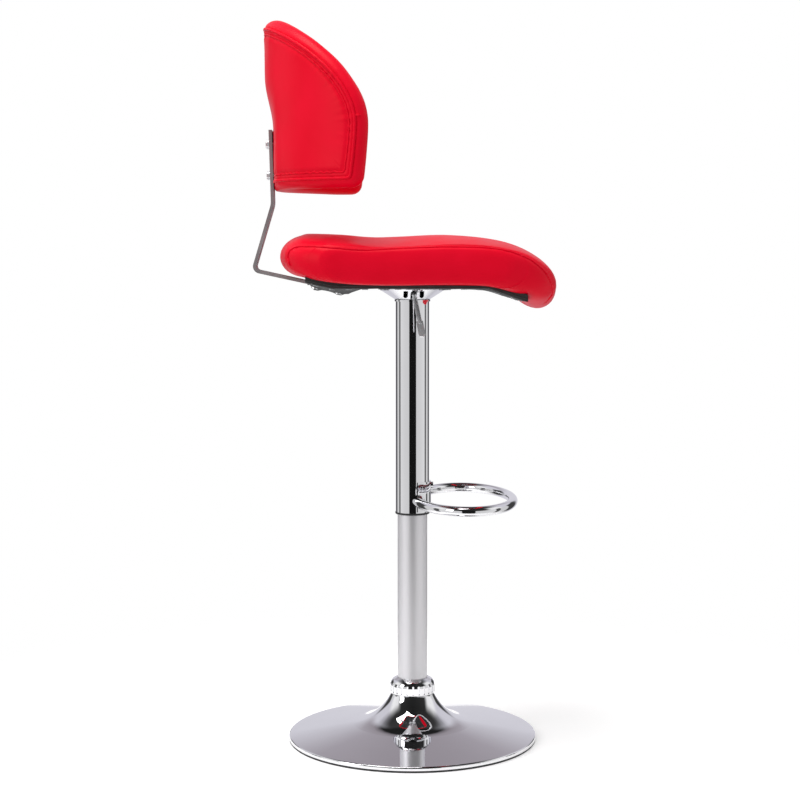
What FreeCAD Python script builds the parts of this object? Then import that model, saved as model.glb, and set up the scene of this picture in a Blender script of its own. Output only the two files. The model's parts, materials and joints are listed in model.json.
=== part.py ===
"""Height-adjustable swivel stool: trumpet base, gas lift, oval footrest, padded seat and wrapped back.

Frame: +Z up, origin on the floor at the column's axis, the stool's front towards -Y. Millimetres.
The stool is drawn with its gas lift fully extended.
"""
import FreeCAD, Part
import math
import os

import Sketcher

DOC = FreeCAD.newDocument("swivel_stool")

DIMENSIONS = {
    # base
    "base_dia": 385.0,
    "base_rim_top": 9.0,
    "base_lip_low": 3.2,
    "base_gauge": 1.5,
    "neck_rad": 34.0,
    "neck_top": 70.0,
    "flare_rad": 80.0,
    "weight_dia": 300.0,
    "weight_low": 4.0,
    "weight_high": 12.0,
    "collar_rad": 34.8,
    "collar_top": 96.0,
    # column
    "column_rad": 23.0,
    "column_wall": 1.2,
    "column_low": 10.0,
    "column_high": 440.0,
    "cover_rad": 26.0,
    "cover_wall": 1.2,
    "cover_low": 356.0,
    "cover_high": 684.0,
    "running_gap": 0.07,
    # gas lift
    "rod_rad": 5.0,
    "rod_low": 5.0,
    "rod_high": 362.0,
    "gas_rad": 14.0,
    "gas_bore_rad": 12.0,
    "gas_low": 330.0,
    "gas_high": 687.0,
    "gas_tip_rad": 13.4,
    "taper_low": 655.0,
    "race_low": 14.0,
    "race_gauge": 2.0,
    "ball_rad": 1.97,
    "ball_ring_rad": 10.0,
    # seat mount
    "dome_rad": 52.0,
    "dome_low": 682.0,
    "dome_high": 703.0,
    "plate_low": 703.1,
    "plate_gauge": 2.5,
    "plate_wide": 160.0,
    "plate_deep": 116.0,
    "lever_rad": 3.5,
    "lever_height": 696.0,
    "pivot_reach": 24.0,
    # seat
    "seat_width": 430.0,
    "seat_corner": 100.0,
    "board_low": 706.5,
    "board_gauge": 10.0,
    "board_width": 372.0,
    "board_half_depth": 158.0,
    "dust_gauge": 0.8,
    "cover_gauge": 1.4,
    # footrest
    "foot_height": 375.0,
    "foot_rad": 7.5,
    "foot_half_width": 133.0,
    "foot_half_depth": 75.0,
    "foot_middle": -80.0,
    "saddle_low": 358.0,
    "saddle_high": 404.0,
    "saddle_rad": 28.8,
    "saddle_half_angle": 75.0,
    # back
    "bar_gauge": 5.0,
    "bar_width": 50.0,
    "bolt_half_gap": 14.0,
    "back_low": 845.0,
    "back_high": 1111.0,
    "pad_front_rad": 189.0,
    "ply_front_rad": 200.0,
    "ply_rear_rad": 208.0,
    "pad_rear_rad": 224.0,
}

SHEET = DOC.addObject("Spreadsheet::Sheet", "Dims")
for row, (word, number) in enumerate(DIMENSIONS.items(), start=1):
    SHEET.set(f"A{row}", word)
    SHEET.set(f"B{row}", str(number))
    SHEET.setAlias(f"B{row}", word)
DOC.recompute()

NODES = []


class Size:
    """A length that knows its value and the spreadsheet formula that gives it."""

    def __init__(self, value, formula):
        self.value = value
        self.formula = formula

    def join(self, other, sign, value):
        text = other.formula if isinstance(other, Size) else str(other)
        return Size(value, f"({self.formula} {sign} {text})")

    def __add__(self, other):
        return self.join(other, "+", self.value + number(other))

    def __sub__(self, other):
        return self.join(other, "-", self.value - number(other))

    def __mul__(self, other):
        return self.join(other, "*", self.value * number(other))

    def __truediv__(self, other):
        return self.join(other, "/", self.value / number(other))

    def __neg__(self):
        return self * -1


def number(size):
    """The plain value of a size, in mm."""
    return size.value if isinstance(size, Size) else size


def dim(word):
    """One driving dimension of the sheet."""
    return Size(SHEET.get(word), f"Dims.{word}")


def bind(item, prop, size):
    """Set a property, and tie it to the sheet when the size comes from there."""
    setattr(item, prop, number(size))
    if isinstance(size, Size):
        item.setExpression(prop, size.formula)


def node(item, label):
    """Name a finished sub-part."""
    item.Label = label
    NODES.append(item)
    return item


# ---- sketches and bodies -------------------------------------------------------------------------

def vector(point, height=0.0):
    return FreeCAD.Vector(number(point[0]), number(point[1]), height)


def edge_between(first, second, radius):
    """A straight edge, or a minor arc whose centre is on the left of travel for a positive radius."""
    start, end = vector(first), vector(second)
    if not radius:
        return Part.LineSegment(start, end)
    chord = end - start
    left = FreeCAD.Vector(-chord.y, chord.x, 0).normalize()
    size = abs(number(radius))
    to_centre = math.sqrt(size ** 2 - (chord.Length / 2) ** 2)
    side = math.copysign(1, number(radius))
    middle = (start + end) / 2 - left * side * (size - to_centre)
    # a sketch keeps every arc anticlockwise
    return Part.Arc(start, middle, end) if side > 0 else Part.Arc(end, middle, start)


def hold(sketch, kind, index, spot, size):
    """Place one point of the sketch along one axis, by a dimension or on the axis itself."""
    if abs(number(size)) < 1e-9:
        axis = -2 if kind == "DistanceX" else -1
        sketch.addConstraint(Sketcher.Constraint("PointOnObject", index, spot, axis))
        return
    place = sketch.addConstraint(Sketcher.Constraint(kind, -1, 1, index, spot, number(size)))
    if isinstance(size, Size):
        sketch.setExpression(f"Constraints[{place}]", size.formula)


def outline(sketch, corners):
    """A closed outline: each corner is (across, up), or (across, up, radius of the arc to the next)."""
    first = sketch.GeometryCount
    count = len(corners)
    spots = []
    for index, corner in enumerate(corners):
        following = corners[(index + 1) % count]
        radius = corner[2] if len(corner) > 2 else 0
        sketch.addGeometry(edge_between(corner, following, radius))
        drawn = sketch.Geometry[first + index]
        forward = drawn.StartPoint.distanceToPoint(vector(corner)) < 1e-6
        spots.append((1, 2) if forward else (2, 1))
    for index, corner in enumerate(corners):
        here = first + index
        after = (index + 1) % count
        sketch.addConstraint(
            Sketcher.Constraint("Coincident", here, spots[index][1], first + after, spots[after][0])
        )
        hold(sketch, "DistanceX", here, spots[index][0], corner[0])
        hold(sketch, "DistanceY", here, spots[index][0], corner[1])
        if len(corner) > 2:
            size = abs(number(corner[2]))
            sketch.addConstraint(Sketcher.Constraint("Radius", here, size))


def new_body(name):
    return DOC.addObject("PartDesign::Body", name)


def new_sketch(body, plane, name):
    """A sketch on one of the body's own origin planes."""
    sketch = body.newObject("Sketcher::SketchObject", name)
    support = next(item for item in body.Origin.OriginFeatures if item.Role == plane)
    sketch.AttachmentSupport = (support, [""])
    sketch.MapMode = "FlatFace"
    return sketch


def turned(name, corners):
    """A body turned about Z from an outline of (radius, height) corners."""
    body = new_body(name)
    sketch = new_sketch(body, "XZ_Plane", name + "_profile")
    outline(sketch, corners)
    turn = body.newObject("PartDesign::Revolution", name + "_turn")
    turn.Profile = sketch
    turn.ReferenceAxis = (sketch, ["V_Axis"])
    turn.Angle = 360
    return body


def ring(name, inner, outer, low, high):
    """A plain turned ring or tube."""
    return turned(name, [(inner, low), (outer, low), (outer, high), (inner, high)])


def extruded(name, plane, corners, depth):
    """A body padded both ways from an outline on an origin plane."""
    body = new_body(name)
    sketch = new_sketch(body, plane, name + "_profile")
    outline(sketch, corners)
    pad = body.newObject("PartDesign::Pad", name + "_pad")
    pad.Profile = sketch
    pad.SideType = "Symmetric"
    bind(pad, "Length", depth)
    return body


# ---- primitives and booleans ---------------------------------------------------------------------

def pointing(place, direction):
    turn = FreeCAD.Rotation(FreeCAD.Vector(0, 0, 1), FreeCAD.Vector(*direction))
    return FreeCAD.Placement(FreeCAD.Vector(*place), turn)


def cylinder(name, radius, length, place, direction=(0, 0, 1)):
    item = DOC.addObject("Part::Cylinder", name)
    bind(item, "Radius", radius)
    bind(item, "Height", length)
    item.Placement = pointing(place, direction)
    return item


def box(name, low, high):
    item = DOC.addObject("Part::Box", name)
    item.Length = high[0] - low[0]
    item.Width = high[1] - low[1]
    item.Height = high[2] - low[2]
    item.Placement.Base = FreeCAD.Vector(*low)
    return item


def fused(name, items):
    item = DOC.addObject("Part::MultiFuse", name)
    item.Shapes = items
    return item


def grouped(name, items):
    item = DOC.addObject("Part::Compound", name)
    item.Links = items
    return item


def less(name, base, tool):
    item = DOC.addObject("Part::Cut", name)
    item.Base = base
    item.Tool = tool
    return item


def shared(name, base, tool):
    item = DOC.addObject("Part::Common", name)
    item.Base = base
    item.Tool = tool
    return item


def along(place, direction, distance):
    return tuple(p + d * distance for p, d in zip(place, direction))


def bolts(name, places, direction, head_rad, head_high, shank_rad, grip):
    """Bolts whose heads sit behind each place and whose shanks run along the direction."""
    made = []
    for index, place in enumerate(places):
        tag = f"{name}_{index}"
        back = along(place, direction, -head_high)
        head = cylinder(tag + "_head", head_rad, head_high, back, direction)
        inside = along(place, direction, -head_high / 2)
        shank = cylinder(tag + "_shank", shank_rad, grip + head_high / 2, inside, direction)
        made.append(fused(tag, [head, shank]))
    return grouped(name, made)


def drills(name, places, direction, radius, length, start=0.0):
    """Cylinders that open a hole at each place."""
    made = []
    for index, place in enumerate(places):
        made.append(cylinder(f"{name}_{index}", radius, length, along(place, direction, start), direction))
    return grouped(name, made)


def tee_nuts(name, places, direction, barrel_rad, bore_rad, barrel_long, flange_rad, flange_high):
    """Tee nuts: a barrel that ends at each place, with its flange on the far side."""
    made = []
    for index, place in enumerate(places):
        tag = f"{name}_{index}"
        start = along(place, direction, -barrel_long)
        barrel = cylinder(tag + "_barrel", barrel_rad, barrel_long + flange_high / 2, start, direction)
        flange = cylinder(tag + "_flange", flange_rad, flange_high, place, direction)
        bore = cylinder(tag + "_bore", bore_rad, barrel_long + flange_high, start, direction)
        made.append(less(tag, fused(tag + "_blank", [barrel, flange]), bore))
    return grouped(name, made)


def rounded_wire(points, radii):
    """Straight runs through 3-D points, joined by tangent arcs of the given radii."""
    points = [FreeCAD.Vector(*p) for p in points]
    edges = []
    start = points[0]
    for before, corner, after, radius in zip(points, points[1:], points[2:], radii):
        back = (before - corner).normalize()
        ahead = (after - corner).normalize()
        half = back.getAngle(ahead) / 2
        reach = radius / math.tan(half)
        enter = corner + back * reach
        leave = corner + ahead * reach
        inward = (back + ahead).normalize()
        middle = corner + inward * (radius / math.sin(half) - radius)
        edges.append(Part.LineSegment(start, enter).toShape())
        edges.append(Part.Arc(enter, middle, leave).toShape())
        start = leave
    edges.append(Part.LineSegment(start, points[-1]).toShape())
    return Part.Wire(edges)


def feature(name, shape):
    item = DOC.addObject("Part::Feature", name)
    item.Shape = shape
    return item


def swept(name, spine, section):
    """A section carried along a spine as one solid."""
    item = DOC.addObject("Part::Sweep", name)
    item.Sections = [section]
    item.Spine = (spine, [f"Edge{i + 1}" for i in range(len(spine.Shape.Edges))])
    item.Solid = True
    item.Frenet = False
    return item


# ---- base ----------------------------------------------------------------------------------------

RIM = dim("base_dia") / 2
SLOT_COUNT = 24


def flare_corners():
    """The trumpet: neck, a concave arc, a shallow straight dish and a rolled rim with a lip."""
    neck_angle = math.radians(65)
    rim_run = number(RIM) - 2.5
    centre_r = number(dim("neck_rad")) + number(dim("flare_rad")) * math.sin(neck_angle)
    centre_z = number(dim("neck_top")) + number(dim("flare_rad")) * math.cos(neck_angle)
    # the dish is the tangent from the rim to the arc
    drop = centre_z - number(dim("base_rim_top"))
    run = rim_run - centre_r
    reach = math.hypot(drop, run)
    dish_angle = math.acos(number(dim("flare_rad")) / reach) - math.atan2(run, drop)
    return centre_r, centre_z, dish_angle


def base_shell():
    centre_r, centre_z, dish = flare_corners()
    flare = number(dim("flare_rad"))
    gauge = number(dim("base_gauge"))
    neck = math.radians(65)

    def on_arc(angle, radius):
        return (centre_r - radius * math.sin(angle), centre_z - radius * math.cos(angle))

    top_low = dim("neck_top") + 1.5
    outer_foot = on_arc(dish, flare)
    inner_foot = on_arc(dish, flare + gauge)
    outer_neck = on_arc(neck, flare)
    inner_neck = on_arc(neck, flare + gauge)
    hole = dim("column_rad") + 1.0
    slide = gauge * math.sin(dish)
    corners = [
        (RIM, dim("base_lip_low")),
        (RIM, dim("base_rim_top") - 2.5, 2.5),
        (RIM - 2.5, dim("base_rim_top")),
        (outer_foot[0], outer_foot[1], -flare),
        (outer_neck[0], outer_neck[1]),
        (dim("neck_rad") - 0.5, top_low),
        (hole, top_low),
        (hole, dim("neck_top")),
        (inner_neck[0] - 0.4, inner_neck[1] + 1.0),
        (inner_neck[0], inner_neck[1], flare + gauge),
        (inner_foot[0], inner_foot[1]),
        (RIM - 2.5 - slide, dim("base_rim_top") - gauge),
        (RIM - gauge, dim("base_rim_top") - 2.5),
        (RIM - gauge, dim("base_lip_low")),
    ]
    return node(turned("base_shell", corners), "base_shell")


def floor_ring():
    """Rubber ring that seats inside the rim and carries the stool on the floor."""
    inside = RIM - dim("base_gauge")
    corners = [
        (inside - 9.0, 0.0),
        (RIM - 1.0, 0.0),
        (RIM - 0.3, 1.0),
        (RIM - 0.3, dim("base_lip_low")),
        (inside, dim("base_lip_low")),
        (inside, dim("base_lip_low") + 2.0),
        (inside - 3.0, dim("base_lip_low") + 2.0),
        (inside - 3.0, dim("base_lip_low")),
        (inside - 9.0, dim("base_lip_low")),
    ]
    return node(turned("floor_ring", corners), "floor_ring")


BOLT_RING = 46.0
BASE_BOLTS = [
    (BOLT_RING * math.cos(math.radians(a)), BOLT_RING * math.sin(math.radians(a)), 15.0)
    for a in (45, 135, 225, 315)
]


def base_inside():
    """The cast weight, the column's socket and the bolts that join them."""
    low, high = dim("weight_low"), dim("weight_high")
    disc = ring("weight_blank", 30.0, dim("weight_dia") / 2, low, high)
    holes = drills("weight_holes", BASE_BOLTS, (0, 0, -1), 4.0, 20.0)
    node(less("base_weight_cut", disc, holes), "base_weight")
    sleeve = dim("column_rad") + 4.0
    flange_top = high + 3.0
    corners = [
        (dim("column_rad"), high),
        (60.0, high),
        (60.0, flange_top),
        (sleeve, flange_top),
        (sleeve, 58.0),
        (dim("column_rad"), 58.0),
    ]
    socket = turned("socket_blank", corners)
    node(less("column_socket_cut", socket, drills("socket_holes", BASE_BOLTS, (0, 0, -1), 4.0, 20.0)),
         "column_socket")
    node(bolts("base_bolts_group", BASE_BOLTS, (0, 0, -1), 6.5, 4.0, 4.0, 10.0), "base_bolts")


def collar():
    """Collar blank less shallow slots round its waist."""
    outer = dim("collar_rad")
    low = dim("neck_top") + 1.5
    top = dim("collar_top")
    bore = dim("column_rad") + 0.05
    corners = [
        (bore, low),
        (outer - 1.0, low),
        (outer, low + 1.5),
        (outer, top - 12.0, 14.0),
        (outer - 4.5, top - 2.6),
        (bore + 2.2, top),
        (bore, top - 1.2),
    ]
    blank = turned("collar_blank", corners)
    cuts = []
    slot_low = number(low) + 4.0
    slot_high = number(top) - 9.5
    inner = number(outer) - 1.2
    for index in range(SLOT_COUNT):
        tag = f"slot_{index}"
        turn = FreeCAD.Rotation(FreeCAD.Vector(0, 0, 1), 360.0 * index / SLOT_COUNT)
        middle = box(tag + "_box", (inner, -1.4, slot_low), (inner + 4, 1.4, slot_high))
        middle.Placement = FreeCAD.Placement(turn.multVec(FreeCAD.Vector(inner, -1.4, slot_low)), turn)
        ends = []
        for height in (slot_low, slot_high):
            place = turn.multVec(FreeCAD.Vector(inner, 0, height))
            away = turn.multVec(FreeCAD.Vector(1, 0, 0))
            ends.append(cylinder(f"{tag}_end_{int(height)}", 1.4, 4.0, tuple(place), tuple(away)))
        cuts += [middle] + ends
    return node(less("collar_ring_cut", blank, fused("collar_slots", cuts)), "collar_ring")


# ---- column and gas lift -------------------------------------------------------------------------

def column():
    outer = dim("column_rad")
    bore = outer - dim("column_wall")
    low, high = dim("column_low"), dim("column_high")
    node(ring("column_tube", bore, outer, low, high), "column_tube")
    end = ring("column_end_plate", dim("rod_rad") + dim("running_gap"), bore, low, dim("race_low"))
    node(end, "column_end_plate")
    race_out = dim("ball_ring_rad") + 4.0
    race = ring("lower_race", dim("rod_rad") + 0.5, race_out, dim("race_low"),
                dim("race_low") + dim("race_gauge"))
    node(race, "lower_race")
    gas = dim("gas_rad") + dim("running_gap")
    corners = [
        (gas, high - 68.0),
        (bore, high - 68.0),
        (bore, high),
        (outer, high),
        (outer - 0.8, high + 3.0),
        (gas, high + 3.0),
    ]
    node(turned("guide_bush", corners), "guide_bush")


BALL_COUNT = 10


def thrust_bearing():
    """Ball cage that lets the gas rod turn on the column's end plate."""
    low = dim("race_low") + dim("race_gauge")
    middle = number(low) + 2.0
    blank = ring("cage_blank", dim("rod_rad") + 0.6, dim("ball_ring_rad") + 3.6, low + 1.0, low + 3.0)
    spots = []
    for index in range(BALL_COUNT):
        angle = 2 * math.pi * index / BALL_COUNT
        reach = number(dim("ball_ring_rad"))
        spots.append((reach * math.cos(angle), reach * math.sin(angle), middle - 2.0))
    pockets = drills("cage_pockets", spots, (0, 0, 1), 2.05, 4.0)
    node(less("bearing_cage_cut", blank, pockets), "bearing_cage")
    balls = []
    for index, spot in enumerate(spots):
        ball = DOC.addObject("Part::Sphere", f"ball_{index}")
        bind(ball, "Radius", dim("ball_rad"))
        ball.Placement.Base = FreeCAD.Vector(spot[0], spot[1], middle)
        balls.append(ball)
    node(grouped("bearing_balls_group", balls), "bearing_balls")


def gas_rod():
    """The rod that stays down, with the race, buffer and clip that hold it to the column."""
    rod = dim("rod_rad")
    low = dim("rod_low")
    node(ring_free("piston_rod", rod, low, dim("rod_high")), "piston_rod")
    race_low = dim("race_low") + dim("race_gauge") + 4.0
    race = ring("upper_race", rod, dim("ball_ring_rad") + 4.0, race_low, race_low + dim("race_gauge"))
    node(race, "upper_race")
    stop_low = race_low + dim("race_gauge")
    corners = [
        (rod, stop_low),
        (14.0, stop_low),
        (14.0, stop_low + 4.0),
        (11.0, stop_low + 7.0),
        (12.0, stop_low + 16.0),
        (rod, stop_low + 16.0),
    ]
    node(turned("bump_stop", corners), "bump_stop")
    node(ring("rod_clip", rod, 8.0, low + 2.0, low + 4.5), "rod_clip")
    piston_rad = dim("gas_bore_rad") - dim("running_gap")
    high = dim("rod_high")
    corners = [
        (rod, high - 12.0),
        (piston_rad, high - 12.0),
        (piston_rad, high - 1.0),
        (piston_rad - 1.0, high),
        (rod, high),
    ]
    node(turned("piston", corners), "piston")


def ring_free(name, radius, low, high):
    """A plain turned rod with chamfered ends."""
    return turned(name, [(0.0, low), (radius - 1.0, low), (radius, low + 1.0), (radius, high - 1.0),
                         (radius - 1.0, high), (0.0, high)])


def gas_cylinder():
    outer, bore = dim("gas_rad"), dim("gas_bore_rad")
    low, high = dim("gas_low"), dim("gas_high")
    pin = dim("running_gap") + 3.0
    corners = [
        (bore, low),
        (outer, low),
        (outer, dim("taper_low")),
        (dim("gas_tip_rad"), high),
        (pin, high),
        (pin, high - 3.0),
        (dim("gas_tip_rad") - 2.0, high - 3.0),
        (bore, dim("taper_low")),
    ]
    node(turned("gas_cylinder", corners), "gas_cylinder")
    rod = dim("rod_rad") + dim("running_gap")
    node(ring("cylinder_guide", rod, bore, low, low + 12.0), "cylinder_guide")
    node(ring("rod_seal", rod, bore, low + 12.0, low + 17.0), "rod_seal")
    valve_low = dim("taper_low") - 6.0
    corners = [
        (pin, valve_low),
        (bore, valve_low),
        (bore, dim("taper_low")),
        (dim("gas_tip_rad") - 2.0, high - 3.0),
        (pin, high - 3.0),
    ]
    node(turned("valve_body", corners), "valve_body")
    node(ring_free("release_pin", 3.0, dim("taper_low") + 4.0, high + 5.2), "release_pin")


def cover_tube():
    """The chrome tube that hides the gas lift and slides over the column with the seat."""
    outer = dim("cover_rad")
    bore = outer - dim("cover_wall")
    tube = ring("cover_blank", bore, outer, dim("cover_low"), dim("cover_high"))
    holes = drills("cover_holes", FOOT_SCREWS, (0, 1, 0), 2.5, 8.0)
    node(less("cover_tube_cut", tube, holes), "cover_tube")
    slide = dim("column_rad") + dim("running_gap")
    low = dim("cover_low")
    corners = [
        (slide, low - 3.0),
        (outer + 0.1, low - 3.0),
        (outer + 0.6, low - 2.4),
        (outer + 0.6, low),
        (bore, low),
        (bore, low + 10.0),
        (slide, low + 10.0),
    ]
    node(turned("tube_end_bush", corners), "tube_end_bush")


# ---- seat mount ----------------------------------------------------------------------------------

PLATE_BOLTS = [(x, y, 703.1) for x in (-62.0, 62.0) for y in (-44.0, 44.0)]


def dome_cover():
    """Pressed chrome bell between the cover tube and the seat, open at the lever's side."""
    neck = dim("cover_rad") + 0.1
    low, high = dim("dome_low"), dim("dome_high")
    edge = dim("dome_rad")
    corners = [
        (neck, low),
        (neck + 1.6, low),
        (neck + 1.6, low + 2.4),
        (neck + 0.9, low + 3.0),
        (edge, high - 2.0),
        (edge, high),
        (edge - 1.2, high),
        (edge - 1.2, high - 1.5),
        (neck, low + 4.2),
    ]
    blank = turned("dome_blank", corners)
    cuts = [
        box("lever_hole_box", (-60.0, -5.2, 686.0), (-28.0, 4.2, 694.5)),
        cylinder("lever_hole_top", 4.7, 32.0, (-60.0, -0.5, 694.5), (1, 0, 0)),
    ]
    for index, middle in enumerate((-13.0, 11.6)):
        low_z = 691.0
        cuts.append(box(f"side_slot_{index}", (-60.0, middle - 3.4, low_z), (-28.0, middle + 3.4, 698.5)))
        cuts.append(cylinder(f"side_slot_round_{index}", 3.4, 32.0, (-60.0, middle, low_z), (1, 0, 0)))
    node(less("dome_cover_cut", blank, fused("dome_holes", cuts)), "dome_cover")


def taper_socket():
    """Steel socket welded under the mount plate; the gas cylinder's taper wedges in it."""
    outer = 18.0
    low, high = dim("taper_low") + 3.0, dim("gas_high")
    slope = (dim("gas_rad") - dim("gas_tip_rad")) / (dim("gas_high") - dim("taper_low"))
    corners = [
        (dim("gas_rad") - slope * 3.0, low),
        (outer, low),
        (outer, dim("plate_low")),
        (dim("gas_tip_rad"), dim("plate_low")),
        (dim("gas_tip_rad"), high),
    ]
    blank = turned("socket_taper_blank", corners)
    slot = box("socket_slot", (-20.0, -5.0, 688.5), (-8.0, 5.0, 704.0))
    node(less("taper_socket_cut", blank, slot), "taper_socket")


def mount_plate():
    """Pressed steel plate bolted to the seat board."""
    corner = 12.0
    half = dim("plate_wide") / 2
    depth = dim("plate_deep") / 2
    corners = [
        (-half + corner, -depth),
        (half - corner, -depth, corner),
        (half, -depth + corner),
        (half, depth - corner, corner),
        (half - corner, depth),
        (-half + corner, depth, corner),
        (-half, depth - corner),
        (-half, -depth + corner, corner),
    ]
    body = new_body("mount_blank")
    sketch = new_sketch(body, "XY_Plane", "mount_profile")
    outline(sketch, corners)
    pad = body.newObject("PartDesign::Pad", "mount_pad")
    pad.Profile = sketch
    bind(pad, "Length", dim("plate_gauge"))
    body.Placement.Base = FreeCAD.Vector(0, 0, number(dim("plate_low")))
    holes = drills("mount_holes", PLATE_BOLTS, (0, 0, 1), 3.0, 10.0, -2.0)
    node(less("mount_plate_cut", body, holes), "mount_plate")
    node(bolts("plate_bolts_group", PLATE_BOLTS, (0, 0, 1), 6.5, 2.6, 3.0, 12.0), "plate_bolts")


def lever_parts():
    """Height lever, its pivot pin and the small bracket under the plate."""
    height = number(dim("lever_height"))
    reach = number(dim("pivot_reach"))
    route = [
        (3.0, 0.0, height),
        (-reach - 3.0, 0.0, height),
        (-46.0, -1.5, 691.0),
        (-87.0, -7.0, 658.0),
        (-91.5, -8.2, 650.5),
    ]
    wire = rounded_wire(route, [12.0, 14.0, 12.0])
    spine = feature("lever_spine", wire)
    section = DOC.addObject("Part::Circle", "lever_section")
    bind(section, "Radius", dim("lever_rad"))
    section.Placement = pointing(route[0], (-1, 0, 0))
    rod = swept("lever_rod", spine, section)
    # the handle's end is flattened and rounded in line with the rod's last run
    last = FreeCAD.Vector(*route[-1]) - FreeCAD.Vector(*route[-2])
    turn = FreeCAD.Rotation(FreeCAD.Vector(), FreeCAD.Vector(0, 1, 0), last, "ZYX")
    thick, wide, length = 3.6, 10.0, 21.0
    blade = DOC.addObject("Part::Box", "lever_blade")
    blade.Length, blade.Width, blade.Height = thick, wide, length
    start = (FreeCAD.Vector(*route[-2]) + FreeCAD.Vector(*route[-1])) * 0.5
    blade.Placement = FreeCAD.Placement(start + turn.multVec(FreeCAD.Vector(-thick / 2, -wide / 2, 0)), turn)
    tip_centre = start + turn.multVec(FreeCAD.Vector(-thick / 2, 0, length))
    across = turn.multVec(FreeCAD.Vector(1, 0, 0))
    tip = cylinder("lever_tip", wide / 2, thick, tuple(tip_centre), tuple(across))
    whole = fused("lever_blank", [rod, blade, tip])
    pin_rad = 1.5
    hole_rad = dim("running_gap") + pin_rad
    hole = cylinder("lever_pin_hole", hole_rad, 20.0, (-reach, -10.0, height), (0, 1, 0))
    lever = less("lever_cut", whole, hole)
    node(lever, "height_lever")
    pin = cylinder("lever_pin_rod", pin_rad, 13.0, (-reach, -6.5, height), (0, 1, 0))
    node(pin, "lever_pin")
    low = height - 5.0
    high = number(dim("plate_low"))
    cheeks = [
        box("cheek_left", (-reach - 4.0, -6.0, low), (-reach + 4.0, -4.5, high)),
        box("cheek_right", (-reach - 4.0, 4.5, low), (-reach + 4.0, 6.0, high)),
        box("cheek_bridge", (-reach - 4.0, -6.0, high - 1.5), (-reach + 4.0, 6.0, high)),
    ]
    holes = cylinder("cheek_hole", pin_rad, 20.0, (-reach, -10.0, height), (0, 1, 0))
    node(less("lever_bracket_cut", fused("bracket_blank", cheeks), holes), "lever_bracket")


# ---- footrest ------------------------------------------------------------------------------------

FOOT_SCREWS = [(0.0, -28.8, z) for z in (397.0, 363.5)]


def footrest():
    """Saddle on the cover tube's front, with an oval ring whose pressed ends are welded to it."""
    half = number(dim("saddle_half_angle"))
    low = number(dim("saddle_low"))
    outer = cylinder("saddle_outer", dim("saddle_rad"), dim("saddle_high") - dim("saddle_low"), (0, 0, low))
    outer.Angle = 2 * half
    outer.Placement.Rotation = FreeCAD.Rotation(FreeCAD.Vector(0, 0, 1), 270 - half)
    bore = cylinder("saddle_bore", dim("cover_rad"), dim("saddle_high"), (0, 0, low - 10))
    holes = drills("saddle_holes", FOOT_SCREWS, (0, 1, 0), 2.5, 8.0, -2.0)
    node(less("foot_saddle_cut", less("saddle_plate", outer, bore), holes), "foot_saddle")
    node(bolts("foot_screws_group", FOOT_SCREWS, (0, 1, 0), 5.2, 3.2, 2.5, 3.9), "foot_screws")

    height = number(dim("foot_height"))
    wide, deep = number(dim("foot_half_width")), number(dim("foot_half_depth"))
    centre = FreeCAD.Vector(0, number(dim("foot_middle")), height)
    oval = Part.Ellipse(centre, wide, deep)
    open_angle = math.acos(24.0 / wide)
    bend = Part.ArcOfEllipse(oval, math.pi - open_angle, 2 * math.pi + open_angle)
    spine = feature("foot_spine", bend.toShape())
    begin = spine.Shape.valueAt(spine.Shape.FirstParameter)
    section = DOC.addObject("Part::Circle", "foot_section")
    bind(section, "Radius", dim("foot_rad"))
    section.Placement = pointing(tuple(begin), tuple(spine.Shape.tangentAt(spine.Shape.FirstParameter)))
    tube = swept("foot_tube", spine, section)
    bore_section = DOC.addObject("Part::Circle", "foot_bore_section")
    bind(bore_section, "Radius", dim("foot_rad") - 1.5)
    bore_section.Placement = section.Placement
    bore = swept("foot_bore", spine, bore_section)
    ears = []
    for side in (-1, 1):
        ear = DOC.addObject("Part::Ellipsoid", f"foot_ear_{side + 1}")
        ear.Radius1 = 9.6
        ear.Radius2 = 5.5
        ear.Radius3 = 8.2
        ear.Placement.Base = FreeCAD.Vector(side * 29.0, -10.0, height)
        ears.append(ear)
    blank = fused("foot_blank", [tube] + ears)
    core = cylinder("foot_core", dim("saddle_rad"), 60.0, (0, 0, height - 30))
    node(less("foot_ring_cut", blank, fused("foot_tools", [core, bore])), "foot_ring")


# ---- seat ----------------------------------------------------------------------------------------

BAR_LOW_SLOPE = 0.2188
BAR_CORNER = (243.0, 729.6)
BAR_END = 97.0


def bar_height(depth):
    """Height of the bar's middle line under the seat."""
    return BAR_CORNER[1] - BAR_LOW_SLOPE * (BAR_CORNER[0] - depth)


def board_line(drop=0.0):
    """Underside of the seat board in the YZ plane, front to rear; drop moves it down square to itself."""
    tilt = math.hypot(1, BAR_LOW_SLOPE)
    rear = number(dim("board_half_depth")) + 2.0
    above_bar = (number(dim("bar_gauge")) / 2) * tilt + 0.9
    low = number(dim("board_low"))
    knee = BAR_CORNER[0] - (BAR_CORNER[1] + above_bar - low) / BAR_LOW_SLOPE
    rear_z = low + BAR_LOW_SLOPE * (rear - knee)
    front_slope = 0.364
    return [
        (-rear, low - front_slope * (rear - 105.0) - drop),
        (-105.0, low - drop),
        (knee, low - drop),
        (rear, rear_z - drop),
    ]


def bar_screw_places():
    tilt = math.hypot(1, BAR_LOW_SLOPE)
    up = (0.0, -BAR_LOW_SLOPE / tilt, 1 / tilt)
    half = number(dim("bar_gauge")) / 2
    side = number(dim("bolt_half_gap"))
    places = []
    for depth in (112.0, 148.0):
        for x in (-side, side):
            places.append(along((x, depth, bar_height(depth)), up, -half))
    return places, up


def slab(name, line, thick, width):
    """A bent sheet: a line in the YZ plane thickened upwards and padded across X."""
    top = [(y, z + thick) for y, z in reversed(line)]
    return extruded(name, "YZ_Plane", line + top, width)


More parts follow.
